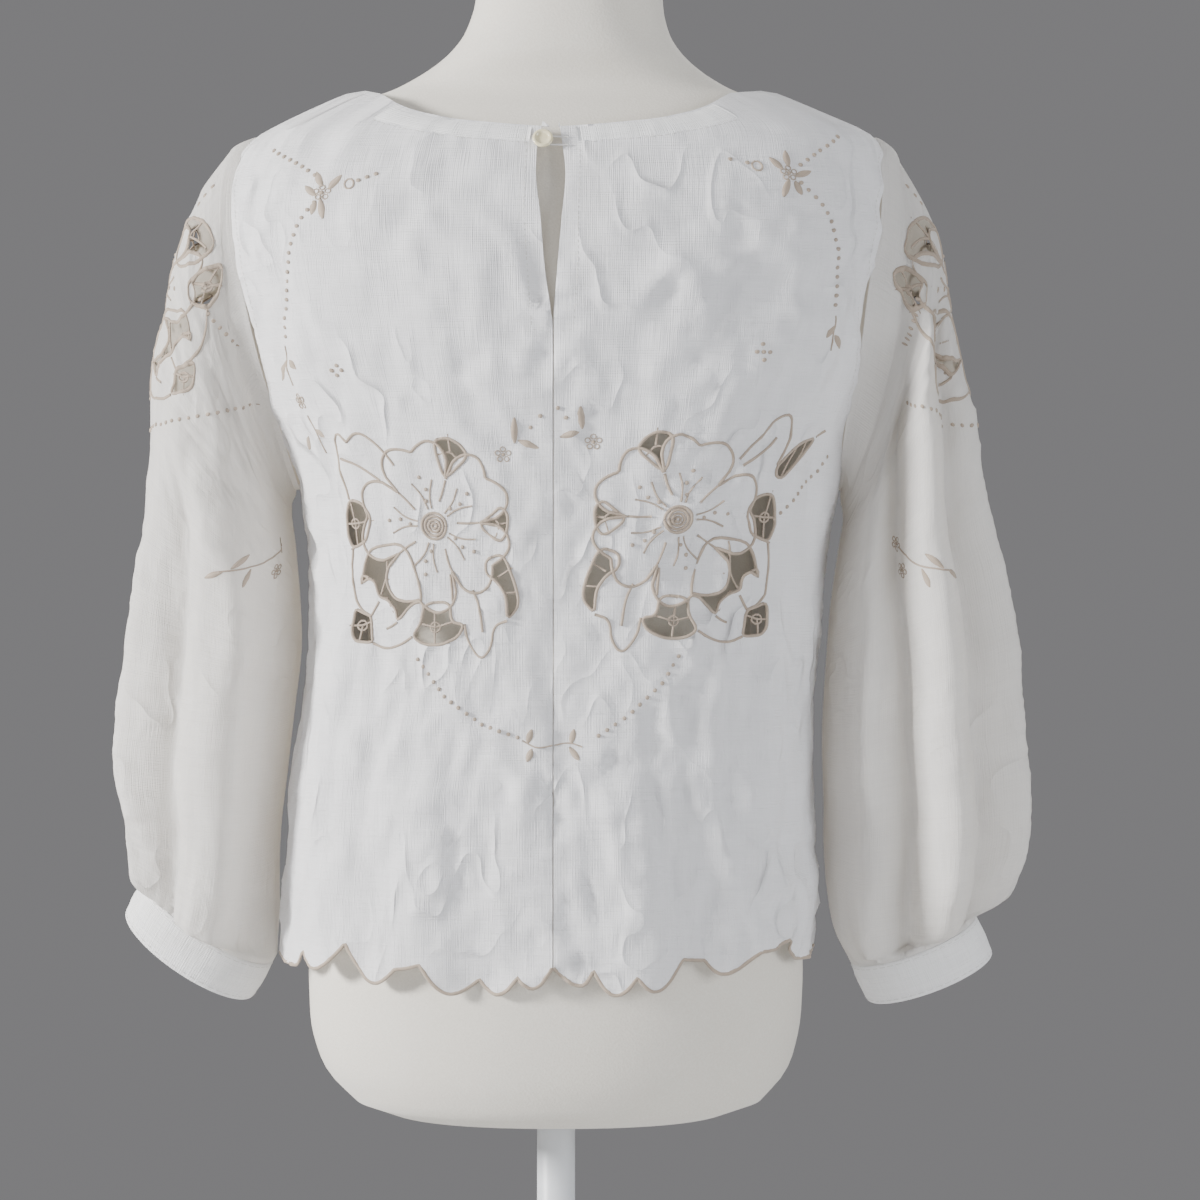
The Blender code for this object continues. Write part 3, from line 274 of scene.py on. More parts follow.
# Embroidery on the back, distances from the middle and heights
DOT_ROWS = {
    "left_up": spots((151, 269), (161, 276), (180, 288)),
    "left_in": spots((122, 264), (111, 268)),
    "left_down": spots((151, 251), (156, 246), (162, 238), (167, 223), (170, 195), (171, 167)),
    "left_arc": spots((84, -37), (67, -60), (45, -77), (22, -85)),
    "right_up": spots((-156, 276), (-167, 285), (-181, 297)),
    "right_in": spots((-122, 276), (-111, 278)),
    "right_down": spots((-156, 264), (-168, 252), (-176, 239), (-179, 224), (-179, 204), (-178, 187)),
    "right_arc": spots((-78, -35), (-67, -52), (-46, -72), (-28, -84)),
    "right_side": spots((-139, 51), (-152, 63), (-161, 73), (-171, 82), (-177, 92)),
    "middle": spots((14, 107), (8, 114), (0, 119), (-8, 113)),
    "left_four": spots((133, 144), (139, 144)),
    "left_four_up": spots((136, 141), (136, 147)),
    "right_four": spots((-134, 155), (-126, 155)),
    "right_four_up": spots((-130, 150), (-130, 160)),
}
LEAVES = {
    "back_left": [spots((24, 97), (24, 113)), spots((9, 94), (22, 99)),
                  spots((16, -89), (13, -80)), spots((13, -92), (16, -100)),
                  spots((146, 261), (150, 271)), spots((142, 259), (133, 268)), spots((150, 255), (157, 262)),
                  spots((147, 253), (145, 240)), spots((150, 252), (153, 243)),
                  spots((171, 152), (176, 140)), spots((168, 152), (162, 146)),
                  spots((157, 104), (158, 96)), spots((152, 108), (146, 103))],
    "back_right": [spots((-18, 106), (-17, 120)), spots((-4, 101), (-16, 104)),
                   spots((-11, -89), (-13, -80)), spots((-10, -91), (-16, -99)),
                   spots((-148, 274), (-146, 285)), spots((-144, 272), (-136, 280)),
                   spots((-152, 268), (-162, 272)),
                   spots((-148, 266), (-144, 254)), spots((-152, 265), (-156, 256)),
                   spots((-177, 174), (-172, 166)), spots((-177, 168), (-182, 160))],
}
STEMS = {
    "back_left": [spots((19, -87), (10, -92), (0.6, -90)), spots((171, 161), (170, 148), (165, 136)),
                  spots((157, 117), (151, 105), (145, 93))],
    "back_right": [spots((-0.6, -90), (-10, -88), (-18, -91)), spots((-177, 180), (-175, 158))],
}
BLOOMS = {
    "back_left": spots((31, 90), (146, 257), (161, 126)),
    "back_right": spots((-25, 98), (-148, 270)),
}
EYELETS = {"back_left": spots((128, 262),), "back_right": spots((-128, 274),)}

# Sleeve embroidery: level distance from the outer line, and height
SLEEVE_DOTS = [
    spots((-92, 116), (-50, 112), (0, 111), (50, 113), (80, 117), (122, 126)),
    spots((66, 192), (76, 180), (88, 170), (100, 163)),
    spots((30, 268), (24, 258)),
]
SLEEVE_LEAVES = [spots((127, 20), (124, 8)), spots((112, 20), (122, 29)), spots((108, 18), (97, 14))]
SLEEVE_STEMS = [spots((106, 18), (127, 21), (142, 27), (152, 34))]
SLEEVE_BLOOMS = spots((155, 36), (151, 19))

# Long creases pressed and pulled into the cloth: from, to, width and depth
Crease = namedtuple("Crease", "u0 v0 u1 v1 width depth")
BODY_CREASES = [
    Crease(36, -60, 58, -215, 5, -1.6), Crease(96, -70, 120, -226, 7, 2.0),
    Crease(70, -95, 44, -205, 5, -1.3), Crease(130, -10, 142, -190, 7, -2.2),
    Crease(20, -110, 34, -220, 4, 1.2), Crease(118, 150, 152, 40, 7, -2.0),
    Crease(92, 220, 128, 150, 6, 1.4), Crease(50, 270, 92, 190, 5, -1.1),
    Crease(24, 160, 64, 130, 4, -1.0), Crease(140, 235, 150, 150, 6, -2.0),
    Crease(160, 60, 120, 118, 5, 1.4), Crease(10, 60, 34, -20, 4, 1.0),
    Crease(-30, -50, -54, -200, 5, 1.5), Crease(-62, -60, -90, -222, 6, -1.8),
    Crease(-104, -40, -122, -210, 7, 2.1), Crease(-128, 10, -150, -160, 7, -2.3),
    Crease(-18, -120, -40, -226, 4, -1.2), Crease(-120, 240, -150, 130, 7, 2.0),
    Crease(-90, 260, -118, 170, 6, -1.6), Crease(-48, 250, -84, 180, 5, 1.1),
    Crease(-22, 150, -70, 118, 4, 1.0), Crease(-140, 180, -128, 100, 6, -2.0),
    Crease(-150, 110, -100, 60, 5, 1.3), Crease(-10, 40, -40, -40, 4, -1.0),
    Crease(-60, -140, -20, -170, 4, 1.0), Crease(60, -150, 100, -130, 4, 1.0),
    Crease(150, -70, 110, -110, 5, 1.2), Crease(270, -30, 300, -220, 8, 2.2),
    Crease(330, 60, 350, -200, 8, -2.2), Crease(400, -40, 380, -210, 7, 2.0),
    Crease(450, 40, 462, -200, 8, -2.0), Crease(510, 20, 530, -200, 8, 2.2),
    Crease(570, 60, 560, -160, 7, -2.0), Crease(300, 230, 360, 120, 7, 1.6),
    Crease(520, 240, 470, 130, 7, -1.6), Crease(420, 180, 400, 60, 6, 1.2),
]
SLEEVE_CREASES = [
    Crease(30, 330, 60, 520, 7, 2.2), Crease(78, 300, 92, 540, 8, -2.6),
    Crease(120, 300, 112, 530, 8, 2.2), Crease(150, 260, 138, 470, 7, -2.0),
    Crease(-20, 320, -8, 520, 7, -2.0), Crease(96, 60, 130, 180, 7, -1.8),
    Crease(120, 40, 150, 160, 6, 1.6), Crease(60, 240, 84, 360, 6, 1.4),
    Crease(-70, 250, -84, 500, 8, 2.2), Crease(-110, 300, -120, 520, 8, -2.2),
    Crease(-60, 60, -100, 200, 7, 1.8), Crease(170, 330, 168, 500, 7, 1.2),
    Crease(40, 470, 56, 560, 4, -2.0), Crease(100, 480, 104, 566, 4, 2.0),
    Crease(74, 490, 78, 570, 4, -2.0),
]


def column(rows, name):
    return np.array([getattr(row, name) for row in rows], float)


def smooth(value, keys, values):
    """Curve through a table, with gentle slopes between the rows."""
    slopes = np.gradient(values, keys)
    value = np.clip(value, keys[0], keys[-1])
    row = np.clip(np.searchsorted(keys, value) - 1, 0, len(keys) - 2)
    span = keys[row + 1] - keys[row]
    t = (value - keys[row]) / span
    rise = values[row] * (1 + 2 * t) * (1 - t) ** 2 + values[row + 1] * t * t * (3 - 2 * t)
    lean = slopes[row] * t * (1 - t) ** 2 - slopes[row + 1] * t * t * (1 - t)
    return rise + lean * span


def fade(value, low, high, soft=35.0):
    before = np.clip((value - low) / soft + 1, 0, 1)
    after = np.clip((high - value) / soft + 1, 0, 1)
    return (before * before * (3 - 2 * before)) * (after * after * (3 - 2 * after))


def quarter_table(steps=200):
    angles = np.array([0.5 * math.pi * k / steps for k in range(steps + 1)])
    across = REF_WIDTH * np.sin(angles) ** ROUNDNESS
    depth = REF_DEPTH * np.abs(np.cos(angles)) ** ROUNDNESS
    lengths = np.concatenate([[0], np.cumsum(np.hypot(np.diff(across), np.diff(depth)))])
    return angles, lengths


ANGLES, LENGTHS = quarter_table()
QUARTER = float(LENGTHS[-1])


def body_size(height, name):
    return smooth(height / MM, column(BODY, "height"), column(BODY, name)) * MM


def crease_lift(u, v, creases, seed):
    """Height of the creases and of the crumpled cloth at points of a flat pattern, in millimetres."""
    lift = np.zeros(len(u))
    for crease in creases:
        start = np.array([crease.u0, crease.v0], float)
        ahead = np.array([crease.u1, crease.v1], float) - start
        length = np.linalg.norm(ahead)
        ahead /= length
        du, dv = u / MM - start[0], v / MM - start[1]
        along = (du * ahead[0] + dv * ahead[1]) / length
        bow = 0.06 * length * np.sin(np.pi * np.clip(along, 0, 1)) * (1 if seed % 2 else -1)
        side = dv * ahead[0] - du * ahead[1] - bow
        ends = np.clip(np.minimum(along, 1 - along) * 3 + 0.15, 0, 1)
        lift += crease.depth * ends * np.exp(-(side / crease.width) ** 2)
    rough = np.empty(len(u))
    for k, (a, b) in enumerate(zip(u, v)):
        broad = noise.noise((a * 16, b * 11, seed))
        share = 0.55 + 0.9 * noise.noise((a * 9, b * 7, seed + 2.2))
        fine = 1 - 3 * abs(noise.noise((a * 34 + 1.5 * broad, b * 27 - broad, seed + 5.3)))
        small = 1 - 3 * abs(noise.noise((a * 72 - 2 * broad, b * 60 + 2 * broad, seed + 9.1)))
        rough[k] = 1.8 * broad + share * (2.1 * fine + 1.1 * small)
    return lift + rough


def body_surface(along, height, extra=None):
    behind = along <= QUARTER
    left = (along >= 0) & (along <= 2 * QUARTER)
    reach = np.where(behind, np.abs(along), np.abs(2 * QUARTER - along))
    angle = np.interp(reach, LENGTHS, ANGLES)
    half = np.where(left, body_size(height, "left"), body_size(height, "right"))
    deep = np.where(behind, body_size(height, "back"), body_size(height, "front"))
    across = half * np.sin(angle) ** ROUNDNESS
    depth = deep * np.maximum(np.cos(angle), 0) ** ROUNDNESS
    lift = sum(f.depth * np.exp(-((along / MM - f.at) / f.width) ** 2) * fade(height / MM, f.low, f.high)
               for f in BODY_FOLDS)
    lift = lift * MM * np.maximum(np.cos(angle), 0) ** 0.5 * np.minimum(1, reach / (25 * MM))
    if extra is not None:
        lift = lift + extra
    across = across + lift * np.sin(angle)
    depth = depth + lift * np.cos(angle)
    return np.stack([np.where(left, across, -across), np.where(behind, depth, -depth), LEVEL + height],
                    axis=1)


def along_of(out, height):
    """Place along the body of a point behind, at this distance from the middle."""
    half = body_size(np.array([height]), "left" if out >= 0 else "right")[0]
    ratio = min(abs(out) / half, 1.0) ** (1 / ROUNDNESS)
    reach = float(np.interp(math.asin(min(ratio, 1.0)), ANGLES, LENGTHS))
    return reach if out >= 0 else -reach


def armhole(angle):
    middle = 0.5 * (ARMHOLE_TOP + ARMHOLE_BOTTOM) * MM
    half = 0.5 * (ARMHOLE_TOP - ARMHOLE_BOTTOM) * MM
    return middle + half * np.cos(angle), ARMHOLE_DEPTH * MM * np.sin(angle)


def armhole_turn(height, depth):
    deep = np.where(depth >= 0, body_size(height, "back"), body_size(height, "front"))
    return np.arccos(np.minimum(np.abs(depth) / deep, 1.0) ** (1 / ROUNDNESS))


class Sleeve:
    """A full sleeve as rings from the armhole down to the cuff, for arrays of points."""

    def __init__(self, side, rows, folds, lean, seed):
        self.side = side
        self.rows = rows
        self.folds = folds
        self.lean = lean
        self.seed = seed
        steps = [SLEEVE_LEAD]
        for before, after in zip(rows, rows[1:]):
            outer = math.hypot(after.out_x - before.out_x, after.out_z - before.out_z)
            inner = math.hypot(after.in_x - before.in_x, after.in_z - before.in_z)
            steps.append(steps[-1] + max(outer, inner))
        self.keys = np.array(steps)
        self.end = steps[-1]
        self.total = self.end + NECK_OF_SLEEVE
        around, run = np.meshgrid(NET_TURNS, NET_RUNS, indexing="ij")
        self.net = self.surface(around.ravel(), run.ravel()).reshape(len(NET_TURNS), len(NET_RUNS), 3)

    def axis(self):
        return np.array([math.sin(self.lean), 0.0, -math.cos(self.lean)])

    def armhole_points(self, angle):
        height, depth = armhole(angle)
        half = body_size(height, "left" if self.side > 0 else "right")
        across = half * np.sin(armhole_turn(height, depth)) ** ROUNDNESS
        return np.stack([across, depth, height], axis=1)

    def rings(self, angle, run, extra):
        here = np.maximum(run, SLEEVE_LEAD)
        value = {name: smooth(here, self.keys, column(self.rows, name)) * MM for name in SleeveRow._fields}
        zero = np.zeros(len(here))
        outer = np.stack([value["out_x"], zero, value["out_z"]], axis=1)
        inner = np.stack([value["in_x"], zero, value["in_z"]], axis=1)
        middle, half = (outer + inner) / 2, (outer - inner) / 2
        size = np.linalg.norm(half, axis=1)[:, None]
        ahead = np.stack([half[:, 2], zero, -half[:, 0]], axis=1) / size
        cos, sin = np.cos(angle), np.sin(angle)
        from_end = self.end - run
        lift = zero.copy()
        for fold in self.folds:
            turn = (np.degrees(angle) - fold.angle + 180) % 360 - 180
            shown = fade(from_end, fold.low, fold.high, 60)
            lift += FOLD_MORE * fold.depth * np.exp(-(turn / fold.width) ** 2) * shown
        gather = np.maximum(0, 1 - from_end / GATHER_REACH) * np.clip(from_end / 7, 0, 1)
        lift += GATHER_RISE * gather * np.sin(GATHERS * angle + 0.9 * np.sin(2 * angle))
        place = PLEATS * angle + 1.6 * np.sin(2 * angle + self.seed) + 0.9 * np.sin(5 * angle)
        uneven = 0.65 + 0.35 * np.sin(3 * angle + self.seed)
        near_cuff = np.maximum(0, 1 - from_end / PLEAT_REACH) ** 0.7 * np.clip(from_end / 5, 0, 1)
        lift -= PLEAT_DEPTH * (0.5 + 0.5 * np.cos(place)) ** 5 * uneven * near_cuff
        lift += extra
        lift *= np.clip(from_end / 5, 0, 1) * np.clip((run - SLEEVE_LEAD) / 60, 0, 1)
        lift *= 1 - 0.95 * np.maximum(0, -cos) ** 2
        point = middle + half * cos[:, None]
        point[:, 1] += value["depth"] * sin
        point += ahead * (value["droop"] * sin)[:, None]
        point[:, 0] += BULGE * MM * np.maximum(0, 1 - (here - SLEEVE_LEAD) / BULGE_REACH) * sin ** 2
        away = half / size * cos[:, None]
        away[:, 1] += sin
        return point + away * (lift * MM)[:, None]

    def surface(self, around, run, extra=None):
        angle = around / SLEEVE_REF
        run = run / MM
        extra = np.zeros(len(run)) if extra is None else extra / MM
        start = self.armhole_points(angle) + np.array([SEAM, 0, 0])
        step = start + np.array([NECK_OF_SLEEVE * MM, 0, 0])
        lead = self.rings(angle, np.full(len(run), SLEEVE_LEAD), np.zeros(len(run)))
        near = start + (step - start) * (run / NECK_OF_SLEEVE)[:, None]
        share = (run - NECK_OF_SLEEVE) / (SLEEVE_LEAD - NECK_OF_SLEEVE)
        blend = step + (lead - step) * share[:, None]
        blend[:, 0] += 3 * MM * np.sin(math.pi * share) * np.maximum(0, np.cos(angle))
        ring = self.rings(angle, np.minimum(run, self.end), extra)
        tail = self.rings(angle, np.full(len(run), self.end), np.zeros(len(run)))
        tail = tail + self.axis() * ((run - self.end) * MM)[:, None]
        pick = run[:, None]
        made = np.where(pick <= NECK_OF_SLEEVE, near,
                        np.where(pick < SLEEVE_LEAD, blend, np.where(pick <= self.end, ring, tail)))
        made[:, 0] *= self.side
        made[:, 2] += LEVEL
        return made

    def flat(self, places):
        """Pattern places of points that are given level distances round the sleeve, and heights."""
        found = []
        for distance, height in places:
            runs, level = [], []
            for line in self.net:
                drop = np.maximum.accumulate(LEVEL - line[:, 2])
                run = np.interp(-height, drop, NET_RUNS)
                runs.append(run)
                level.append([np.interp(run, NET_RUNS, line[:, axis]) for axis in range(3)])
            steps = np.linalg.norm(np.diff(level, axis=0), axis=1)
            lengths = np.concatenate([[0], np.cumsum(steps)])
            lengths -= np.interp(0, NET_TURNS, lengths)
            around = np.interp(distance, lengths, NET_TURNS)
            found.append((float(around), float(np.interp(around, NET_TURNS, runs))))
        return found


class Surface:
    """A garment surface with its creases, giving points and outward directions."""

    def __init__(self, shape, creases, seed, outward, crumple):
        self.shape = shape
        self.creases = creases
        self.seed = seed
        self.outward = outward
        self.crumple = crumple

    def points(self, u, v):
        return self.shape(u, v, crease_lift(u, v, self.creases, self.seed) * MM * self.crumple)

    def place(self, flat):
        flat = np.asarray(flat, float)
        u, v = flat[:, 0], flat[:, 1]
        step = 1.2 * MM
        along = self.points(u + step, v) - self.points(u - step, v)
        down = self.points(u, v + step) - self.points(u, v - step)
        normal = np.cross(along, down) * self.outward
        normal /= np.maximum(np.linalg.norm(normal, axis=1), 1e-9)[:, None]
        return self.points(u, v), normal


def inside(points, outline):
    points = np.asarray(points, float)
    shape = np.asarray(outline, float)
    ahead = np.roll(shape, -1, axis=0)
    found = np.zeros(len(points), bool)
    for (ax, ay), (bx, by) in zip(shape, ahead):
        if ay == by:
            continue
        crosses = (points[:, 1] < ay) != (points[:, 1] < by)
        at = ax + (points[:, 1] - ay) * (bx - ax) / (by - ay)
        found ^= crosses & (points[:, 0] < at)
    return found


def polar(reach, turn):
    return Spot(reach * math.cos(turn), reach * math.sin(turn))


def petal_reach(petal, step):
    size = abs(step)
    if size > 0.45:
        return petal.reach * (PETAL_VALLEY + (1 - PETAL_VALLEY) * math.sqrt(1 - ((size - 0.45) / 0.55) ** 2))
    return petal.reach * (1 - PETAL_NOTCH * (1 - size / 0.45) ** 1.4)


def petal_order():
    """Each petal with the directions of the valleys on its two sides."""
    order = sorted(PETALS, key=lambda petal: petal.angle)
    found = []
    for index, petal in enumerate(order):
        before = order[index - 1].angle - (360 if index == 0 else 0)
        after = order[(index + 1) % len(order)].angle + (360 if index == len(order) - 1 else 0)
        found.append((petal, (petal.angle + before) / 2, (petal.angle + after) / 2))
    return found


def flower_outline(steps=12):
    outline = []
    for petal, low, high in petal_order():
        for k in range(-steps, steps):
            step = k / steps
            side = petal.angle - low if step < 0 else high - petal.angle
            angle = math.radians(petal.angle + side * step)
            reach = petal_reach(petal, step)
            outline.append(polar(reach, angle))
    return outline


def placed(outline, motif):
    return [((motif.across + motif.turn * motif.wide * spot.across) * MM,
             (motif.up + motif.tall * spot.up) * MM) for spot in outline]


def rounded(outline, rounds=2):
    """Closed outline with its corners cut back into curves."""
    points = [np.array(point, float) for point in outline]
    for _ in range(rounds):
        fresh = []
        for a, b in zip(points, points[1:] + points[:1]):
            fresh += [a * 0.8 + b * 0.2, a * 0.2 + b * 0.8]
        points = fresh
    return [tuple(point) for point in points]


def curved(path, rounds=2):
    """Open path with its corners cut back into curves, ends kept."""
    points = [np.array(point, float) for point in path]
    for _ in range(rounds):
        fresh = [points[0]]
        for a, b in zip(points, points[1:]):
            fresh += [a * 0.75 + b * 0.25, a * 0.25 + b * 0.75]
        points = fresh + [points[-1]]
    return [tuple(point) for point in points]


class Cutwork:
    """One motif on a flat pattern: its flower, its gaps, and any other line of it."""

    def __init__(self, motif, sleeve=None):
        self.motif = motif
        self.flat = sleeve.flat if sleeve else list
        windows, self.bars, self.leaves = list(WINDOWS.values()), list(BARS), list(LEAF_LINES)
        if sleeve:
            windows.append(SLEEVE_WINDOW)
            self.bars += SLEEVE_BARS
        elif motif == MOTIF_BACK_RIGHT:
            windows.append(ARM_WINDOW)
            self.bars += ARM_BARS
            self.leaves += ARM_LEAF
        else:
            self.leaves += UPPER_LEAF
        self.flower = self.line(flower_outline())
        self.windows = [self.flat(rounded(placed(window, motif))) for window in windows]

    def line(self, outline):
        return self.flat(placed(outline, self.motif))

    def curve(self, outline):
        return self.flat(curved(placed(outline, self.motif)))

    def gap(self, points):
        opened = np.zeros(len(points), bool)
        for window in self.windows:
            opened |= inside(points, window)
        return opened & ~inside(points, self.flower)


def flat_panel(outline, grid, cutwork=None):
    """Triangles of a flat pattern with the gaps of its motif cut out."""
    loops = [list(outline)]
    if cutwork:
        loops += [cutwork.flower] + cutwork.windows
    points, edges = [], []
    for loop in loops:
        first = len(points)
        points += loop
        edges += [(first + k, first + (k + 1) % len(loop)) for k in range(len(loop))]
    grid = np.array(grid)
    grid = grid[inside(grid, outline)]
    fixed = np.array(points)
    near = np.full(len(grid), 1e9)
    for a, b in edges:
        start, span = fixed[a], fixed[b] - fixed[a]
        share = np.clip(((grid - start) @ span) / max(span @ span, 1e-12), 0, 1)
        near = np.minimum(near, np.linalg.norm(grid - start - share[:, None] * span, axis=1))
    points += [tuple(point) for point in grid[near > 1.6 * MM]]
    found = delaunay_2d_cdt([Vector(p) for p in points], edges, [], 0, 0.05 * MM)
    flat = np.array([(v.x, v.y) for v in found[0]])
    triangles = np.array([tuple(face) for face in found[2]])
    middles = flat[triangles].mean(axis=1)
    kept = inside(middles, outline)
    if cutwork:
        kept &= ~cutwork.gap(middles)
    return flat, triangles[kept]


def grid_points(low, high, bottom, top, step):
    columns = max(2, round((high - low) / step))
    rows = max(2, round((top - bottom) / step))
    return [(low + (high - low) * (i + 0.5 * (j % 2)) / columns, bottom + (top - bottom) * j / rows)
            for j in range(1, rows) for i in range(0, columns + 1)]


def fine(outline, step):
    """Outline with points added so that no side is longer than the step."""
    points = []
    for (ax, ay), (bx, by) in zip(outline, outline[1:] + outline[:1]):
        parts = max(1, math.ceil(math.hypot(bx - ax, by - ay) / step))
        points += [(ax + (bx - ax) * k / parts, ay + (by - ay) * k / parts) for k in range(parts)]
    return points


def link(name, mesh, material, sharp=True):
    item = bpy.data.objects.new(name, mesh)
    bpy.context.scene.collection.objects.link(item)
    mesh.materials.append(material)
    mesh.shade_smooth()
    if sharp:
        mesh.set_sharp_from_angle(angle=math.radians(70))
    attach(item, "root")
    return item


def cloth_piece(name, flat, triangles, surface, material, lining):
    """A thin wall of cloth laid on its surface, with the flat pattern as its texture map."""
    used = np.unique(triangles)
    number = np.full(len(flat), -1)
    number[used] = np.arange(len(used))
    flat = flat[used]
    triangles = number[triangles]
    outer, normal = surface.place(flat)
    inner = outer - normal * LINEN_WALL
    count = len(flat)
    a, b, c = (flat[triangles[:, k]] for k in range(3))
    turned = np.cross(b - a, c - a) * surface.outward < 0
    triangles[turned] = triangles[turned][:, ::-1]
    faces = [tuple(face) for face in triangles]
    edges = {}
    for x, y, z in faces:
        for edge in ((x, y), (y, z), (z, x)):
            edges[edge] = True
    rim = [edge for edge in edges if (edge[1], edge[0]) not in edges]
    faces += [(z + count, y + count, x + count) for x, y, z in faces]
    faces += [(y, x, x + count, y + count) for x, y in rim]
    mesh = bpy.data.meshes.new(name)
    mesh.from_pydata(np.concatenate([outer, inner]).tolist(), [], faces)
    layer = mesh.uv_layers.new(name="pattern")
    corners = np.empty(len(mesh.loops), int)
    mesh.loops.foreach_get("vertex_index", corners)
    layer.data.foreach_set("uv", flat[corners % count].ravel())
    item = link(name, mesh, material)
    mesh.materials.append(lining)
    slots = np.zeros(len(mesh.polygons), np.int32)
    slots[len(triangles):2 * len(triangles)] = 1
    mesh.polygons.foreach_set("material_index", slots)
    return item


def arc_path(path, step):
    """Open path resampled at even steps."""
    points = np.array(path, float)
    lengths = np.concatenate([[0], np.cumsum(np.linalg.norm(np.diff(points, axis=0), axis=1))])
    count = max(2, int(math.ceil(lengths[-1] / step)) + 1)
    at = np.linspace(0, lengths[-1], count)
    return np.stack([np.interp(at, lengths, points[:, 0]), np.interp(at, lengths, points[:, 1])], axis=1), at


class Sewing:
    """Gathers the raised threads of one panel and makes them into one piece."""

    HALF = [(-1.0, -0.25), (-0.62, 0.72), (0.0, 1.0), (0.62, 0.72), (1.0, -0.25)]
    WHOLE = [(math.cos(k * math.pi / 3), math.sin(k * math.pi / 3)) for k in range(6)]

    def __init__(self, surface):
        self.surface = surface
        self.flat, self.lift, self.map, self.faces = [], [], [], []

    def add(self, flat, lift, texture, faces):
        first = len(self.flat)
        self.flat += [tuple(point) for point in flat]
        self.lift += list(lift)
        self.map += [tuple(point) for point in texture]
        self.faces += [tuple(first + corner for corner in face) for face in faces]

    def line(self, path, width, height, whole=False, taper=False, low=0.0, step=2.0 * MM):
        """A line of satin stitch along a path of the flat pattern."""
        points, at = arc_path(path, step)
        ahead = np.gradient(points, axis=0)
        ahead /= np.maximum(np.linalg.norm(ahead, axis=1), 1e-12)[:, None]
        side = np.stack([-ahead[:, 1], ahead[:, 0]], axis=1)
        profile = self.WHOLE if whole else self.HALF
        size = np.ones(len(points))
        if taper:
            size = np.maximum(0.12, np.sin(np.pi * np.linspace(0.03, 0.97, len(points))) ** 0.7)
        flat, lift, texture, faces = [], [], [], []
        for (u, v), (nu, nv), scale, run in zip(points, side, size, at):
            for across, up in profile:
                flat.append((u + nu * across * width / 2 * scale, v + nv * across * width / 2 * scale))
                lift.append(low + height * up * (0.4 + 0.6 * scale))
                texture.append((run, across * width / 2 * scale))
        count = len(profile)
        links = count if whole else count - 1
        for row in range(len(points) - 1):
            for k in range(links):
                a, b = row * count + k, row * count + (k + 1) % count
                faces.append((a, b, b + count, a + count))
        faces.append(tuple(range(count)))
        faces.append(tuple(reversed(range((len(points) - 1) * count, len(points) * count))))
        self.add(flat, lift, texture, faces)

    def loop(self, path, width, height, whole=False, low=0.0):
        self.line(list(path) + [path[0], path[1]], width, height, whole, False, low)

    def dot(self, spot, radius, height):
        """A small padded dot."""
        flat, lift, texture = [], [], []
        for ring, (reach, up) in enumerate(((1.0, -0.1), (0.8, 0.75), (0.4, 1.0))):
            for k in range(8):
                turn = math.pi * (k + 0.5 * ring) / 4
                point = (reach * radius * math.cos(turn), reach * radius * math.sin(turn))
                flat.append((spot[0] + point[0], spot[1] + point[1]))
                lift.append(height * up)
                texture.append(point)
        faces = [(r * 8 + k, r * 8 + (k + 1) % 8, r * 8 + 8 + (k + 1) % 8, r * 8 + 8 + k)
                 for r in range(2) for k in range(8)]
        self.add(flat, lift, texture, faces + [tuple(range(16, 24))])

    def dots(self, path, apart, radius=1.45 * MM, height=0.8 * MM):
        points, at = arc_path(path, 0.4 * MM)
        count = max(2, round(at[-1] / apart) + 1)
        for k in range(count):
            self.dot(points[round((len(points) - 1) * k / (count - 1))], radius, height)

    def leaf(self, path, width):
        self.line(curved(path, 1), width, 0.8 * MM, taper=True, step=1.4 * MM)

    def bloom(self, spot, size):
        """A small flower of five looped petals round a knot."""
        for k in range(5):
            turn = math.radians(18 + 72 * k)
            centre = (spot[0] + size * math.cos(turn), spot[1] + size * math.sin(turn))
            ring = [(centre[0] + 0.46 * size * math.cos(math.radians(t)),
                     centre[1] + 0.46 * size * math.sin(math.radians(t))) for t in range(0, 360, 45)]
            self.line(ring + [ring[0], ring[1]], 0.9 * MM, 0.55 * MM, step=1.2 * MM)
        self.dot(spot, 0.42 * size, 0.9 * MM)

    def dashes(self, path, stitch=2.6 * MM, gap=1.1 * MM, width=0.5 * MM, height=0.3 * MM):
        """A row of machine stitches."""
        points, at = arc_path(path, 0.25 * MM)
        start = 0.0
        while start + stitch < at[-1]:
            low = points[np.searchsorted(at, start)]
            high = points[np.searchsorted(at, start + stitch)]
            ahead = (high - low) / max(np.linalg.norm(high - low), 1e-9)
            side = np.array([-ahead[1], ahead[0]]) * width / 2
            middle = (low + high) / 2
            flat = [low - side, low + side, high + side, high - side,
                    middle - side * 0.7, middle + side * 0.7]
            faces = [(0, 1, 5, 4), (4, 5, 2, 3)]
            lift = [-0.05 * MM] * 4 + [height] * 2
            self.add(flat, lift, [(p[0], p[1]) for p in flat], faces)
            start += stitch + gap

    def make(self, name, slot, material):
        if not self.flat:
            return None
        base, normal = self.surface.place(self.flat)
        points = base + normal * np.array(self.lift)[:, None]
        mesh = bpy.data.meshes.new(name)
        mesh.from_pydata(points.tolist(), [], self.faces)
        mesh.update()
        layer = mesh.uv_layers.new(name="pattern")
        corners = np.empty(len(mesh.loops), int)
        mesh.loops.foreach_get("vertex_index", corners)
        layer.data.foreach_set("uv", np.array(self.map)[corners].ravel())
        if self.surface.outward < 0:
            mesh.flip_normals()
        return link(name, mesh, material, sharp=False)


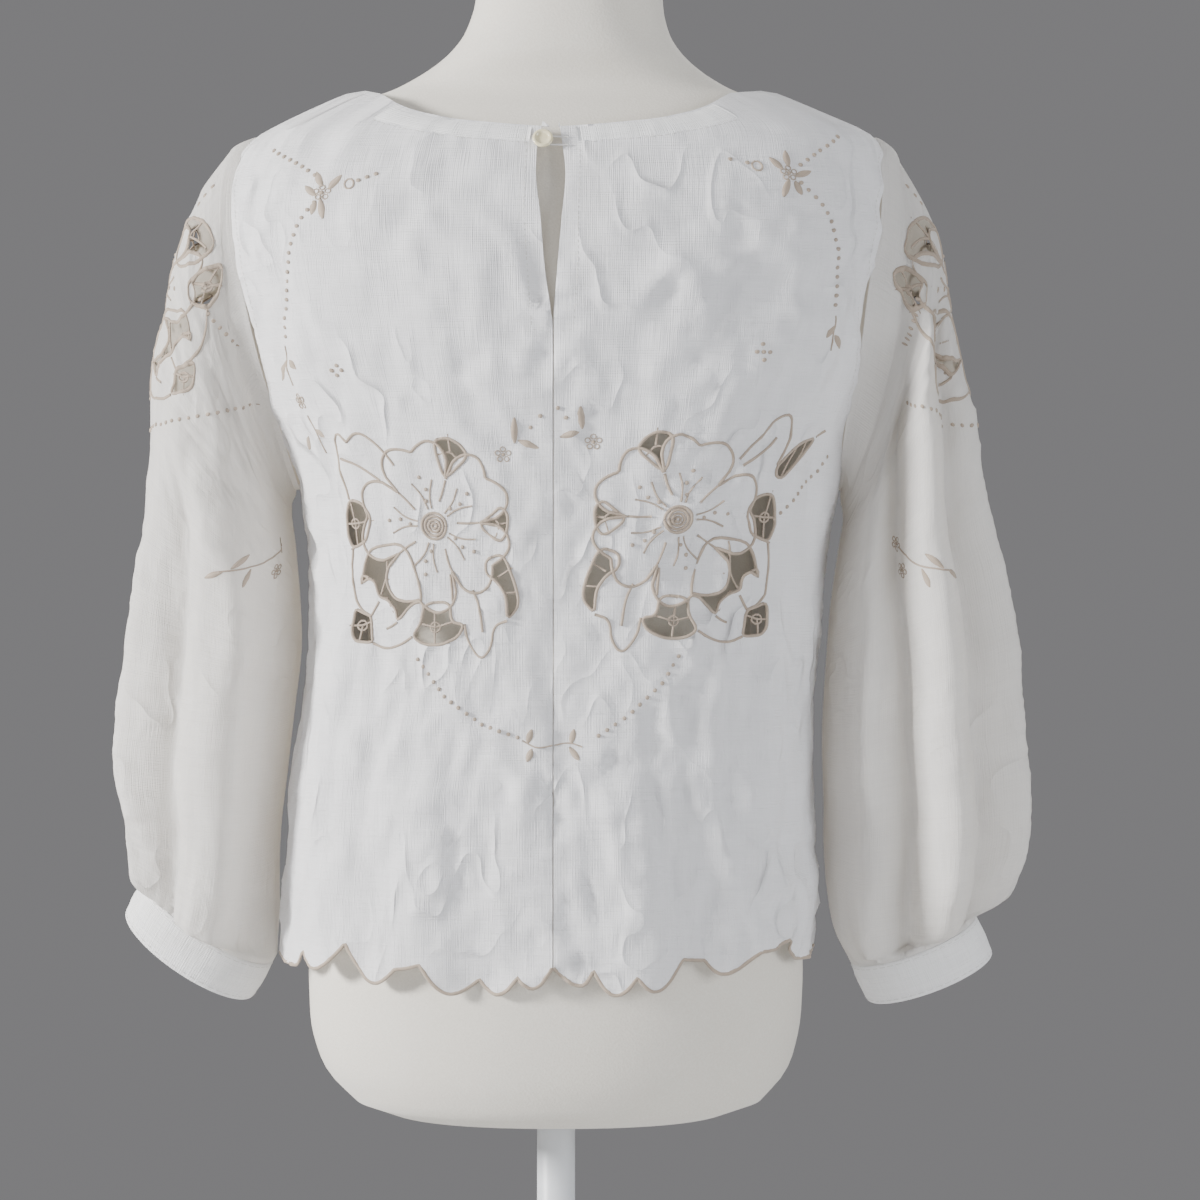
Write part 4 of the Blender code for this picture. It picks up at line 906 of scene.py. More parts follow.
def sew_motif(sewing, cutwork, bars):
    """The flower with its petal lines, disc, leaves, the gaps' edges and the bars across them."""
    sewing.loop(cutwork.flower, 2.1 * MM, 0.95 * MM)
    for window in cutwork.windows:
        sewing.loop(window, 2.1 * MM, 0.9 * MM)
    for line in cutwork.leaves:
        sewing.line(cutwork.curve(line), 1.9 * MM, 0.85 * MM)
    for petal, low, high in petal_order():
        turn = math.radians(low)
        near, far = 0.30 * petal.reach, petal_reach(petal, -1.0)
        division = [polar(reach, turn + lean)
                    for reach, lean in ((near, 0.05), (0.5 * (near + far), 0.0), (far, 0.0))]
        sewing.line(cutwork.curve(division), 1.7 * MM, 0.8 * MM)
        for sign in (-1, 1):
            lean = math.radians(petal.angle + sign * 0.10 * (high - low))
            end = math.radians(petal.angle + sign * 0.21 * (high - low))
            stamen = [polar(11, lean), polar(20, lean), polar(29, end)]
            sewing.line(cutwork.curve(stamen), 1.3 * MM, 0.7 * MM)
        for size, lean in ((16, 3), (23, -3), (31, 1)):
            turn = math.radians(petal.angle + lean)
            sewing.dot(cutwork.line([polar(size, turn)])[0], 1.4 * MM, 0.9 * MM)
    for share in (1.0, 0.74, 0.48, 0.22):
        count = 20 if share > 0.5 else 10
        radius = DISC_RADIUS * share
        ring = [polar(radius, 2 * math.pi * k / count) for k in range(count + 1)]
        sewing.line(cutwork.line(ring), 2.1 * MM, 0.9 * MM, step=1.6 * MM)
    for bar in cutwork.bars:
        bars.line(cutwork.line(bar), 1.4 * MM, 0.55 * MM, whole=True, low=-0.5 * MM, step=3 * MM)
    for spot in (Spot(-57, 2), Spot(0, -63), Spot(-55, -62)):
        ring = [Spot(spot.across + 3.2 * math.cos(t), spot.up + 3.2 * math.sin(t))
                for t in np.linspace(0, 2 * math.pi, 13)]
        bars.line(cutwork.line(ring), 1.4 * MM, 0.55 * MM, whole=True, low=-0.5 * MM, step=2 * MM)


FormRow = namedtuple("FormRow", "height half back front shift")
FORM = [
    FormRow(-335, 40, 30, 30, -2),
    FormRow(-334, 112, 78, 78, -2),
    FormRow(-326, 134, 92, 94, -2),
    FormRow(-310, 149, 101, 104, -1),
    FormRow(-285, 159, 107, 110, 0),
    FormRow(-255, 162, 109, 111, 0),
    FormRow(-200, 160, 106, 108, 0),
    FormRow(-150, 152, 98, 102, 0),
    FormRow(-90, 136, 87, 96, -1),
    FormRow(-30, 126, 82, 95, -2),
    FormRow(30, 132, 86, 102, -2),
    FormRow(90, 144, 93, 109, -2),
    FormRow(150, 156, 97, 108, -2),
    FormRow(205, 168, 95, 100, -2),
    FormRow(250, 176, 87, 88, -2),
    FormRow(280, 174, 77, 75, -3),
    FormRow(303, 172.6, 64, 62, -5.5),
    FormRow(318, 157.6, 55, 54, -4.5),
    FormRow(326, 139.8, 48, 45, -4.5),
    FormRow(333, 117, 45, 41, -4.5),
    FormRow(341, 100.5, 47, 45, -5),
    FormRow(352, 84, 52, 57, -6),
    FormRow(366, 71, 53, 58, -7),
    FormRow(382, 64, 55, 57, -8),
    FormRow(400, 61, 56, 56, -9),
    FormRow(412, 60, 56, 56, -9),
]
CAP_HEIGHT = 8 * MM
TOUCH = 0.3 * MM
BASE_RADIUS, BASE_THICK = 150 * MM, 20 * MM
POLE_RADIUS = 12.5 * MM
BUTTON_RADIUS = 6.6 * MM
BUTTON_THICK = 2.6 * MM
BUTTON_OUT, BUTTON_HEIGHT = 7.0, 289
LOOP_RADIUS = 0.6 * MM
LOOP_BEND = 3.3 * MM
LOOP_REACH = 16 * MM
SHANK_RADIUS, SHANK_LENGTH = 2.2 * MM, 2.0 * MM


class Nodes:
    """Short way to lay out a material's nodes."""

    def __init__(self, name, rough, colour):
        self.material = bpy.data.materials.new(name)
        self.material.use_nodes = True
        self.tree = self.material.node_tree
        self.shader = self.tree.nodes["Principled BSDF"]
        self.shader.inputs["Roughness"].default_value = rough
        self.shader.inputs["Base Color"].default_value = (*colour, 1)

    def add(self, kind, **values):
        node = self.tree.nodes.new(kind)
        for key, value in values.items():
            if key in node.inputs:
                node.inputs[key].default_value = value
            else:
                setattr(node, key, value)
        return node

    def join(self, out, into):
        self.tree.links.new(out, into)

    def maths(self, kind, first, second):
        node = self.add("ShaderNodeMath", operation=kind)
        for socket, value in zip(node.inputs, (first, second)):
            if isinstance(value, (int, float)):
                socket.default_value = value
            else:
                self.join(value, socket)
        return node.outputs[0]

    def blend(self, share, dark, light):
        node = self.add("ShaderNodeMix", data_type="RGBA")
        self.join(share, node.inputs[0])
        node.inputs[6].default_value = (*dark, 1)
        node.inputs[7].default_value = (*light, 1)
        return node.outputs[2]

    def bump(self, height, strength, distance):
        node = self.add("ShaderNodeBump")
        node.inputs["Strength"].default_value = strength
        node.inputs["Distance"].default_value = distance
        self.join(height, node.inputs["Height"])
        self.join(node.outputs[0], self.shader.inputs["Normal"])


def crease_lines(made, place, scale=30, turn=0.4, sharp=10):
    """Narrow pressed lines that wander over the cloth."""
    spin = made.add("ShaderNodeMapping")
    spin.inputs["Rotation"].default_value = (0, 0, turn)
    spin.inputs["Scale"].default_value = (1.0, 0.6, 1.0)
    made.join(place.outputs["UV"], spin.inputs["Vector"])
    bend = made.add("ShaderNodeTexNoise", noise_dimensions="2D")
    bend.inputs["Scale"].default_value = scale
    bend.inputs["Detail"].default_value = 1.0
    made.join(spin.outputs[0], bend.inputs["Vector"])
    away = made.maths("ABSOLUTE", made.maths("SUBTRACT", bend.outputs["Fac"], 0.5), 0)
    line = made.maths("MAXIMUM", made.maths("SUBTRACT", 1.0, made.maths("MULTIPLY", away, sharp)), 0.0)
    return made.maths("MULTIPLY", line, line)


def linen(name, dark, light, through, creased):
    """Plain-weave linen: warp and weft, uneven threads, fine creases, and some light let through."""
    made = Nodes(name, 0.88, light)
    place = made.add("ShaderNodeTexCoord")
    weave = []
    for direction in ("X", "Y"):
        wave = made.add("ShaderNodeTexWave", wave_type="BANDS", bands_direction=direction)
        wave.inputs["Scale"].default_value = 330
        wave.inputs["Distortion"].default_value = 0.7
        wave.inputs["Detail"].default_value = 0.0
        wave.inputs["Detail Scale"].default_value = 0.4
        made.join(place.outputs["UV"], wave.inputs["Vector"])
        weave.append(wave.outputs["Fac"])
    slubs = []
    for scale in ((1400, 45, 1), (45, 1400, 1)):
        stretch = made.add("ShaderNodeMapping")
        stretch.inputs["Scale"].default_value = scale
        made.join(place.outputs["UV"], stretch.inputs["Vector"])
        thread = made.add("ShaderNodeTexNoise", noise_dimensions="2D")
        thread.inputs["Scale"].default_value = 1.0
        thread.inputs["Detail"].default_value = 0.0
        made.join(stretch.outputs[0], thread.inputs["Vector"])
        slubs.append(thread.outputs["Fac"])
    cloud = made.add("ShaderNodeTexNoise", noise_dimensions="2D")
    cloud.inputs["Scale"].default_value = 14
    cloud.inputs["Detail"].default_value = 1
    made.join(place.outputs["UV"], cloud.inputs["Vector"])
    threads = made.maths("ADD", slubs[0], slubs[1])
    woven = made.maths("MULTIPLY", weave[0], weave[1])
    crumple = []
    for scale, turn in ((30, 0.5), (52, -0.7)):
        spin = made.add("ShaderNodeMapping")
        spin.inputs["Rotation"].default_value = (0, 0, turn)
        spin.inputs["Scale"].default_value = (1.0, 0.55, 1.0)
        made.join(place.outputs["UV"], spin.inputs["Vector"])
        ridge = made.add("ShaderNodeTexNoise", noise_type="RIDGED_MULTIFRACTAL", noise_dimensions="2D")
        ridge.inputs["Scale"].default_value = scale
        ridge.inputs["Detail"].default_value = 2.0
        made.join(spin.outputs[0], ridge.inputs["Vector"])
        crumple.append(ridge.outputs["Fac"])
    rough = made.maths("ADD", made.maths("MULTIPLY", threads, 1.3), woven)
    tone = made.maths("ADD", made.maths("MULTIPLY", threads, 0.45),
                      made.maths("MULTIPLY", cloud.outputs["Fac"], 0.4))
    made.join(made.blend(tone, dark, light), made.shader.inputs["Base Color"])
    folds = made.maths("ADD", crumple[0], made.maths("MULTIPLY", crumple[1], 0.5))
    shown = made.maths("MULTIPLY", made.maths("SUBTRACT", cloud.outputs["Fac"], 0.44), 6.0)
    lines = made.maths("MULTIPLY", crease_lines(made, place), made.maths("MAXIMUM", shown, 0.0))
    folds = made.maths("ADD", made.maths("MULTIPLY", folds, 2.0), made.maths("MULTIPLY", lines, 0.7))
    creases = made.maths("MULTIPLY", folds, creased)
    made.bump(made.maths("ADD", creases, made.maths("MULTIPLY", rough, 0.19)), 1.0, MM)
    made.shader.inputs["Sheen Weight"].default_value = 0.12
    made.shader.inputs["Sheen Roughness"].default_value = 0.5
    made.shader.inputs["Specular IOR Level"].default_value = 0.25
    if through:
        glow = made.add("ShaderNodeBsdfTranslucent")
        glow.inputs["Color"].default_value = (*light, 1)
        mixed = made.add("ShaderNodeMixShader")
        mixed.inputs[0].default_value = through
        made.join(made.shader.outputs[0], mixed.inputs[1])
        made.join(glow.outputs[0], mixed.inputs[2])
        made.join(mixed.outputs[0], made.tree.nodes["Material Output"].inputs["Surface"])
    return made.material


def satin_thread(name, dark, light):
    """Embroidery thread, with its stitches lying across the line."""
    made = Nodes(name, 0.55, light)
    place = made.add("ShaderNodeTexCoord")
    wave = made.add("ShaderNodeTexWave", wave_type="BANDS", bands_direction="X")
    wave.inputs["Scale"].default_value = 420
    wave.inputs["Distortion"].default_value = 1.5
    made.join(place.outputs["UV"], wave.inputs["Vector"])
    cloud = made.add("ShaderNodeTexNoise")
    cloud.inputs["Scale"].default_value = 160
    made.join(place.outputs["UV"], cloud.inputs["Vector"])
    tone = made.maths("ADD", made.maths("MULTIPLY", wave.outputs["Fac"], 0.55),
                      made.maths("MULTIPLY", cloud.outputs["Fac"], 0.45))
    made.join(made.blend(tone, dark, light), made.shader.inputs["Base Color"])
    made.bump(wave.outputs["Fac"], 0.5, 0.25 * MM)
    made.shader.inputs["Sheen Weight"].default_value = 0.2
    return made.material


def jersey(name, dark, light):
    """Smooth knitted cover."""
    made = Nodes(name, 0.9, light)
    place = made.add("ShaderNodeTexCoord")
    knit = made.add("ShaderNodeTexVoronoi")
    knit.inputs["Scale"].default_value = 700
    made.join(place.outputs["Object"], knit.inputs["Vector"])
    cloud = made.add("ShaderNodeTexNoise")
    cloud.inputs["Scale"].default_value = 9
    made.join(place.outputs["Object"], cloud.inputs["Vector"])
    tone = made.maths("ADD", made.maths("MULTIPLY", knit.outputs["Distance"], 0.35),
                      made.maths("MULTIPLY", cloud.outputs["Fac"], 0.6))
    made.join(made.blend(tone, dark, light), made.shader.inputs["Base Color"])
    made.bump(knit.outputs["Distance"], 0.35, 0.3 * MM)
    made.shader.inputs["Sheen Weight"].default_value = 0.25
    made.shader.inputs["Specular IOR Level"].default_value = 0.2
    return made.material


def plain(name, rough, dark, light, scale, lift, metal=0.0):
    """Painted, moulded or plastered surface with a fine unevenness."""
    made = Nodes(name, rough, light)
    place = made.add("ShaderNodeTexCoord")
    cloud = made.add("ShaderNodeTexNoise")
    cloud.inputs["Scale"].default_value = scale
    cloud.inputs["Detail"].default_value = 4
    made.join(place.outputs["Object"], cloud.inputs["Vector"])
    made.join(made.blend(cloud.outputs["Fac"], dark, light), made.shader.inputs["Base Color"])
    made.bump(cloud.outputs["Fac"], 0.2, lift)
    made.shader.inputs["Metallic"].default_value = metal
    return made.material


BODY_LINEN = linen("linen_body", (0.80, 0.80, 0.825), (0.91, 0.91, 0.93), 0.14, 2.3)
BODY_LINING = linen("linen_body_inside", (0.86, 0.82, 0.76), (0.96, 0.92, 0.85), 0.88, 0.4)
SLEEVE_LINEN = linen("linen_sleeve", (0.80, 0.79, 0.78), (0.93, 0.92, 0.905), 0.36, 1.4)
SLEEVE_LINING = linen("linen_sleeve_inside", (0.86, 0.82, 0.76), (0.96, 0.92, 0.85), 0.88, 0.3)
CUFF_LINEN = linen("linen_cuff", (0.78, 0.78, 0.78), (0.92, 0.92, 0.92), 0, 0.35)
BEIGE = satin_thread("thread_beige", (0.29, 0.23, 0.175), (0.48, 0.39, 0.31))
WHITE_THREAD = satin_thread("thread_white", (0.58, 0.57, 0.55), (0.80, 0.79, 0.77))
COVER = jersey("jersey_cover", (0.64, 0.60, 0.53), (0.80, 0.77, 0.70))
PAINT = plain("painted_metal", 0.4, (0.58, 0.60, 0.63), (0.66, 0.68, 0.71), 60, 0.1 * MM)
PEARL = plain("pearl_button", 0.22, (0.66, 0.57, 0.34), (0.84, 0.78, 0.56), 260, 0.05 * MM)
PEARL.node_tree.nodes["Principled BSDF"].inputs["Coat Weight"].default_value = 0.6
FLOOR = plain("floor_paint", 0.8, (0.55, 0.55, 0.55), (0.60, 0.60, 0.60), 3, 0.1 * MM)


def seam_distance(u):
    return np.minimum(np.minimum(np.abs(u - QUARTER), np.abs(u - 3 * QUARTER)), np.abs(u + QUARTER))


def body_shape(u, v, lift):
    """Body surface with calm seams, and no crease pressed into the form's shoulders."""
    calm = np.clip(seam_distance(u) / (9 * MM), 0, 1)
    lift = lift * calm
    high = np.clip((v - 0.215) / 0.05, 0, 1)
    lift = np.maximum(lift, (-2.6 + 2.2 * high) * MM)
    middle_seam = np.where(v < SLIT[-1].height * MM, np.abs(u), 1.0)
    lift = lift - 0.4 * MM * np.exp(-(np.minimum(seam_distance(u), middle_seam) / (1.3 * MM)) ** 2)
    return body_surface(u, v, lift)


BODY_SURFACE = Surface(body_shape, BODY_CREASES, 3, -1, 1.3)


def back_flat(pairs):
    return [(along_of(spot.across * MM, spot.up * MM), spot.up * MM) for spot in pairs]


def hem_edge(rows, side):
    """Scallops from the centre to the side, sharp above and round below."""
    points = [(along_of(row.out * side * MM, row.height * MM), row.height * MM) for row in rows]
    points[0] = (side * 0.5 * SEAM, points[0][1])
    points.append((side * (QUARTER - 0.5 * SEAM), HEM_SIDE * MM))
    outline = []
    for (a, low), (b, high) in zip(points, points[1:]):
        for t in np.arange(0, 1, 0.125):
            ease = math.sin(0.5 * math.pi * t) if high < low else 1 - math.cos(0.5 * math.pi * t)
            outline.append((a + (b - a) * t, low + (high - low) * ease))
    return outline + [points[-1]]


def side_edge(front):
    """Up the side seam, round the armhole and up the shoulder seam, for the half at positive places."""
    edge = QUARTER - 0.5 * SEAM
    points = [(edge, v) for v in np.linspace(HEM_SIDE, ARMHOLE_BOTTOM, 60)[1:-1] * MM]
    turns = np.pi * (1 - np.arange(0, 73) / 72)
    heights, depths = armhole(-turns if front else turns)
    reach = np.interp(armhole_turn(heights, depths), ANGLES, LENGTHS)
    points += [(min(r, edge) - 0.5 * SEAM, h) for r, h in zip(reach, heights)]
    return points + [(edge, v) for v in np.linspace(ARMHOLE_TOP, SIDE_NECK_HEIGHT, 8)[1:] * MM]


def neck_edge(rows, side):
    outs = np.linspace(rows[-1].out, 0, 40)
    heights = smooth(outs, column(rows, "out"), column(rows, "height"))
    return [(abs(along_of(side * out * MM, height * MM)), height * MM) for out, height in zip(outs, heights)]


def slit_edge(side):
    rows = list(reversed(SLIT))
    heights = np.linspace(SLIT[0].height, SLIT[-1].height, 40)
    outs = smooth(heights, column(rows, "height"), column(rows, "left" if side > 0 else "right"))
    return [(along_of(out * MM, height * MM) + side * 0.5 * SEAM, height * MM)
            for out, height in zip(outs, heights)]


def mirrored(points, side):
    return [(side * u, v) for u, v in points]


def back_piece(name, side, hem, motif):
    bottom = hem_edge(hem, side)
    outline = bottom + mirrored(side_edge(False), side) + mirrored(neck_edge(NECK_BACK, side)[:-1], side)
    outline += slit_edge(side)
    outline += [(side * 0.5 * SEAM, v) for v in np.linspace(SLIT[-1].height, hem[0].height, 80)[1:-1] * MM]
    grid = grid_points(-QUARTER, QUARTER, -262 * MM, 336 * MM, PANEL_STEP)
    cutwork = Cutwork(motif)
    flat, triangles = flat_panel(outline, grid, cutwork)
    piece = cloth_piece(name + "_cloth", flat, triangles, BODY_SURFACE, BODY_LINEN, BODY_LINING)
    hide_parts(name)
    return piece, bottom, cutwork


def front_piece():
    edge = QUARTER - 0.5 * SEAM
    hem = [(u, (HEM_SIDE - 11 * abs(math.sin(math.pi * FRONT_SCALLOPS * (u + edge) / (2 * edge)))) * MM)
           for u in np.linspace(-edge, edge, 12 * FRONT_SCALLOPS + 1)]
    half = side_edge(True) + neck_edge(NECK_FRONT, 1)
    outline = hem + half + [(-u, v) for u, v in reversed(half[:-1])][:-1]
    outline = [(u + 2 * QUARTER, v) for u, v in outline]
    grid = grid_points(QUARTER, 3 * QUARTER, -262 * MM, 336 * MM, PANEL_STEP)
    flat, triangles = flat_panel(outline, grid)
    piece = cloth_piece("front_cloth", flat, triangles, BODY_SURFACE, BODY_LINEN, BODY_LINING)
    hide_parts("front")
    return piece, [(u + 2 * QUARTER, v) for u, v in hem]


def sleeve_piece(name, sleeve, motif):
    """The whole sleeve as one piece of cloth, its seam on the inner side."""
    half = math.pi * SLEEVE_REF - 0.05 * MM
    end = sleeve.total * MM - 0.5 * SEAM
    outline = fine([(-half, 0.0), (half, 0.0), (half, end), (-half, end)], 5 * MM)
    grid = grid_points(-half, half, 0.0, end, PANEL_STEP * 0.85)
    grid += grid_points(-half, half, end - 70 * MM, end, 3.4 * MM)
    cutwork = Cutwork(motif, sleeve)
    flat, triangles = flat_panel(outline, grid, cutwork)
    surface = Surface(sleeve.surface, SLEEVE_CREASES, sleeve.seed, -sleeve.side, 0.8)
    piece = cloth_piece(name + "_cloth", flat, triangles, surface, SLEEVE_LINEN, SLEEVE_LINING)
    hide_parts(name + "_outer", name + "_inner")
    return piece, surface, cutwork


def closed_loft(name, rings, material, node=None, wrap=False):
    """Mesh through rings of points, closed at both ends, or joined end to end."""
    count = len(rings[0])
    points = [tuple(point) for ring in rings for point in ring]
    faces = []
    for row in range(len(rings) if wrap else len(rings) - 1):
        below = ((row + 1) % len(rings)) * count
        for k in range(count):
            a, b = row * count + k, row * count + (k + 1) % count
            faces.append((a, b, below + (k + 1) % count, below + k))
    if not wrap:
        faces.append(tuple(reversed(range(count))))
        faces.append(tuple(range(len(points) - count, len(points))))
    mesh = bpy.data.meshes.new(name)
    mesh.from_pydata(points, [], faces)
    mesh.update()
    turn_outward(mesh)
    item = link(name, mesh, material)
    if node:
        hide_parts(node)
    return item


def turn_outward(mesh):
    work = bmesh.new()
    work.from_mesh(mesh)
    bmesh.ops.recalc_face_normals(work, faces=work.faces)
    if work.calc_volume(signed=True) < 0:
        bmesh.ops.reverse_faces(work, faces=work.faces)
    work.to_mesh(mesh)
    work.free()


def lathe(profile, columns, shape=lambda across, depth, height: (across, depth, height)):
    """Rings of a turned shape, from radius and height."""
    turns = [2 * math.pi * k / columns for k in range(columns)]
    return [[shape(radius * math.cos(turn), radius * math.sin(turn), height)
             for turn in turns] for radius, height in profile]


def cuff_piece(name, sleeve):
    """Narrow band on the end of the sleeve, with rounded rims and a rolled top seam."""
    columns = 120
    angles = 2 * math.pi * np.arange(columns) / columns
    total = np.full(columns, float(sleeve.end))
    none = np.zeros(columns)
    base = sleeve.rings(angles, total, none)
    ends = sleeve.rings(np.array([0.0, math.pi]), np.full(2, float(sleeve.end)), np.zeros(2))
    middle = ends.mean(axis=0)
    axis = sleeve.axis()
    section = [(0.0, 1.5), (0.0, 0.5), (0.03, 0.1), (0.1, 0.0), (0.2, 0.1), (0.35, 0.1), (0.5, 0.0),
               (0.65, 0.05), (0.8, 0.1), (0.92, 0.0), (0.98, 0.15), (1.0, 0.6), (1.0, 1.5), (0.97, 2.0),
               (0.5, 2.0), (0.04, 2.0)]
    rings = []
    for level, inset in section:
        swell = 1 + 0.02 * math.sin(math.pi * level)
        here = middle + (base - middle) * swell
        toward = middle - here
        toward -= np.outer(toward @ axis, axis)
        toward /= np.linalg.norm(toward, axis=1)[:, None]
        dent = np.array([noise.noise((3 * math.cos(a), 3 * math.sin(a), 4 * level + sleeve.seed))
                         for a in angles])
        dent = dent * 0.5 * math.sin(math.pi * level)
        here = here + toward * ((inset - dent) * MM)[:, None]
        here = here + axis * ((NECK_OF_SLEEVE + 0.5 * SEAM / MM + CUFF_HEIGHT * level) * MM)
        here[:, 0] *= sleeve.side
        here[:, 2] += LEVEL
        rings.append(here)
    item = closed_loft(name + "_band", rings, CUFF_LINEN, name, wrap=True)
    layer = item.data.uv_layers.new(name="pattern")
    lengths = np.concatenate([[0], np.cumsum([abs(b[0] - a[0]) * CUFF_HEIGHT + abs(b[1] - a[1])
                                              for a, b in zip(section, section[1:])])]) * MM
    girth = 0.19
    corners = [(loop.vertex_index % columns, loop.vertex_index // columns) for loop in item.data.loops]
    layer.data.foreach_set("uv", np.array([(girth * k / columns, lengths[row]) for k, row in corners]).ravel())
    return item


def cuff_stitches(name, sleeve):
    """Machine stitches near both edges of the cuff."""
    def shape(u, v, lift):
        angle = u / SLEEVE_REF
        zeros = np.zeros(len(u))
        here = sleeve.rings(angle, np.full(len(u), float(sleeve.end)), zeros)
        ends = sleeve.rings(np.array([0.0, math.pi]), np.full(2, float(sleeve.end)), np.zeros(2))
        middle = ends.mean(axis=0)
        here = middle + (here - middle) * (1 + 0.02 * np.sin(math.pi * v / (CUFF_HEIGHT * MM)))[:, None]
        here = here + sleeve.axis() * (v + (NECK_OF_SLEEVE + 0.5 * SEAM / MM) * MM)[:, None]
        here[:, 0] *= sleeve.side
        here[:, 2] += LEVEL
        return here
    sewing = Sewing(Surface(shape, [], 1, -sleeve.side, 0.0))
    half = math.pi * SLEEVE_REF
    for level in (2.2 * MM, (CUFF_HEIGHT - 2.4) * MM):
        sewing.dashes([(-half, level), (half, level)], stitch=6 * MM, gap=2.4 * MM, width=0.5 * MM,
                      height=0.35 * MM)
    return sewing.make(name + "_stitches", "thread", WHITE_THREAD)


def form_pieces():
    heights = np.concatenate([[-335, -334.7, -334, -332, -329], np.linspace(-326, 300, 90),
                              np.linspace(303, 412, 45)])
    rows = column(FORM, "height")
    table = {name: np.where(heights < FORM[2].height, np.interp(heights, rows, column(FORM, name)),
                            smooth(heights, rows[2:], column(FORM[2:], name))) for name in FormRow._fields}
    turn = 2 * np.pi * np.arange(112) / 112
    side = np.sign(np.cos(turn)) * np.abs(np.cos(turn)) ** 0.88
    behind = np.sign(np.sin(turn)) * np.abs(np.sin(turn)) ** 0.88
    rings = []
    for k, height in enumerate(heights):
        across = side * table["half"][k] + table["shift"][k]
        depth = behind * np.where(behind > 0, table["back"][k], table["front"][k])
        rings.append(np.stack([across * MM, depth * MM, np.full(len(turn), LEVEL + height * MM)], axis=1))
    torso = closed_loft("form_torso_cover", rings, COVER, "form_torso")
    top = FORM[-1]
    low = LEVEL + top.height * MM + TOUCH
    profile = [(0.02, low), (0.97, low), (1.0, low + 0.8 * MM), (1.0, low + 2.5 * MM), (0.97, low + 4 * MM),
               (0.9, low + 5.3 * MM), (0.6, low + 7.2 * MM), (0.02, low + CAP_HEIGHT)]

    def oval(across, depth, height):
        return across * top.half * MM + top.shift * MM, depth * top.back * MM, height
    cap = closed_loft("form_neck_disc", lathe(profile, 72, oval), COVER, "form_neck_cap")
    return torso, cap


def stand_pieces():
    boss = 22 * MM
    top = BASE_THICK + 14 * MM
    base = [(0.001, BASE_THICK), (boss - 2 * MM, BASE_THICK), (BASE_RADIUS - 30 * MM, BASE_THICK - 4.2 * MM),
            (BASE_RADIUS - 14 * MM, BASE_THICK - 5.4 * MM), (BASE_RADIUS - 6 * MM, BASE_THICK - 7.4 * MM),
            (BASE_RADIUS - 2.4 * MM, BASE_THICK - 10 * MM), (BASE_RADIUS - 0.6 * MM, 8 * MM),
            (BASE_RADIUS, 5 * MM), (BASE_RADIUS, 2 * MM), (BASE_RADIUS - 0.6 * MM, 0.6 * MM),
            (BASE_RADIUS - 2 * MM, 0.0), (0.001, 0.0)]
    closed_loft("stand_base_plate", lathe(base, 96), PAINT, "stand_base")
    high = LEVEL + FORM[0].height * MM - TOUCH
    low = BASE_THICK + TOUCH
    pole = [(0.001, high), (POLE_RADIUS - 0.4 * MM, high), (POLE_RADIUS, high - 0.4 * MM),
            (POLE_RADIUS, top + 2 * MM), (POLE_RADIUS, top), (boss - 5 * MM, top),
            (boss - 3 * MM, top - 0.8 * MM), (boss - 2 * MM, top - 2.6 * MM),
            (boss - 2 * MM, low), (0.001, low)]
    closed_loft("stand_pole_tube", lathe(pole, 64), PAINT, "stand_pole")


def button_pieces():
    height = BUTTON_HEIGHT * MM
    seat = body_surface(np.array([along_of(BUTTON_OUT * MM, height)]), np.array([height]))[0]
    back = body_size(np.array([height - 8 * MM, height + 8 * MM]), "back")
    lean = math.atan2(back[0] - back[1], 16 * MM)
    away = np.array([0, math.cos(lean), math.sin(lean)])
    rise = np.array([0, -math.sin(lean), math.cos(lean)])
    start = seat + away * TOUCH
    under = SHANK_LENGTH
    profile = [(0.01, 0.50), (0.3, 0.52), (0.52, 0.58), (0.62, 0.74), (0.70, 0.95), (0.78, 1.0), (0.88, 0.97),
               (0.96, 0.82), (1.0, 0.55), (0.97, 0.3), (0.85, 0.06), (0.5, 0.0)]
    rows = [(BUTTON_RADIUS * reach, under + BUTTON_THICK * up) for reach, up in profile]
    rows += [(SHANK_RADIUS, under), (SHANK_RADIUS, 0.0), (0.1 * MM, 0.0)]

    def turned(across, depth, up):
        return tuple(start + np.array([across, 0, 0]) + rise * depth + away * up)
    closed_loft("button_pearl", lathe(rows, 48, turned), PEARL, "button")
    middle = seat + away * (LOOP_RADIUS + 1.4 * TOUCH)
    turn = [math.radians(110 - 220 * k / 16) for k in range(17)]
    flat = [(-LOOP_REACH, 2.4 * MM), (-0.5 * LOOP_REACH, 2.9 * MM)]
    flat += [(LOOP_BEND * math.cos(angle), LOOP_BEND * math.sin(angle)) for angle in turn]
    flat += [(-0.5 * LOOP_REACH, -3.1 * MM), (-LOOP_REACH, -3.4 * MM)]
    route = [middle + np.array([across, 0, 0]) + rise * up for across, up in curved(flat, 1)]
    rings = []
    for k, point in enumerate(route):
        ahead = route[min(k + 1, len(route) - 1)] - route[max(k - 1, 0)]
        ahead /= np.linalg.norm(ahead)
        side = np.cross(ahead, away)
        side /= np.linalg.norm(side)
        rings.append([tuple(point + LOOP_RADIUS * (side * math.cos(t) + away * math.sin(t)))
                      for t in 2 * math.pi * np.arange(10) / 10])
    closed_loft("button_loop_cord", rings, WHITE_THREAD, "button_loop")


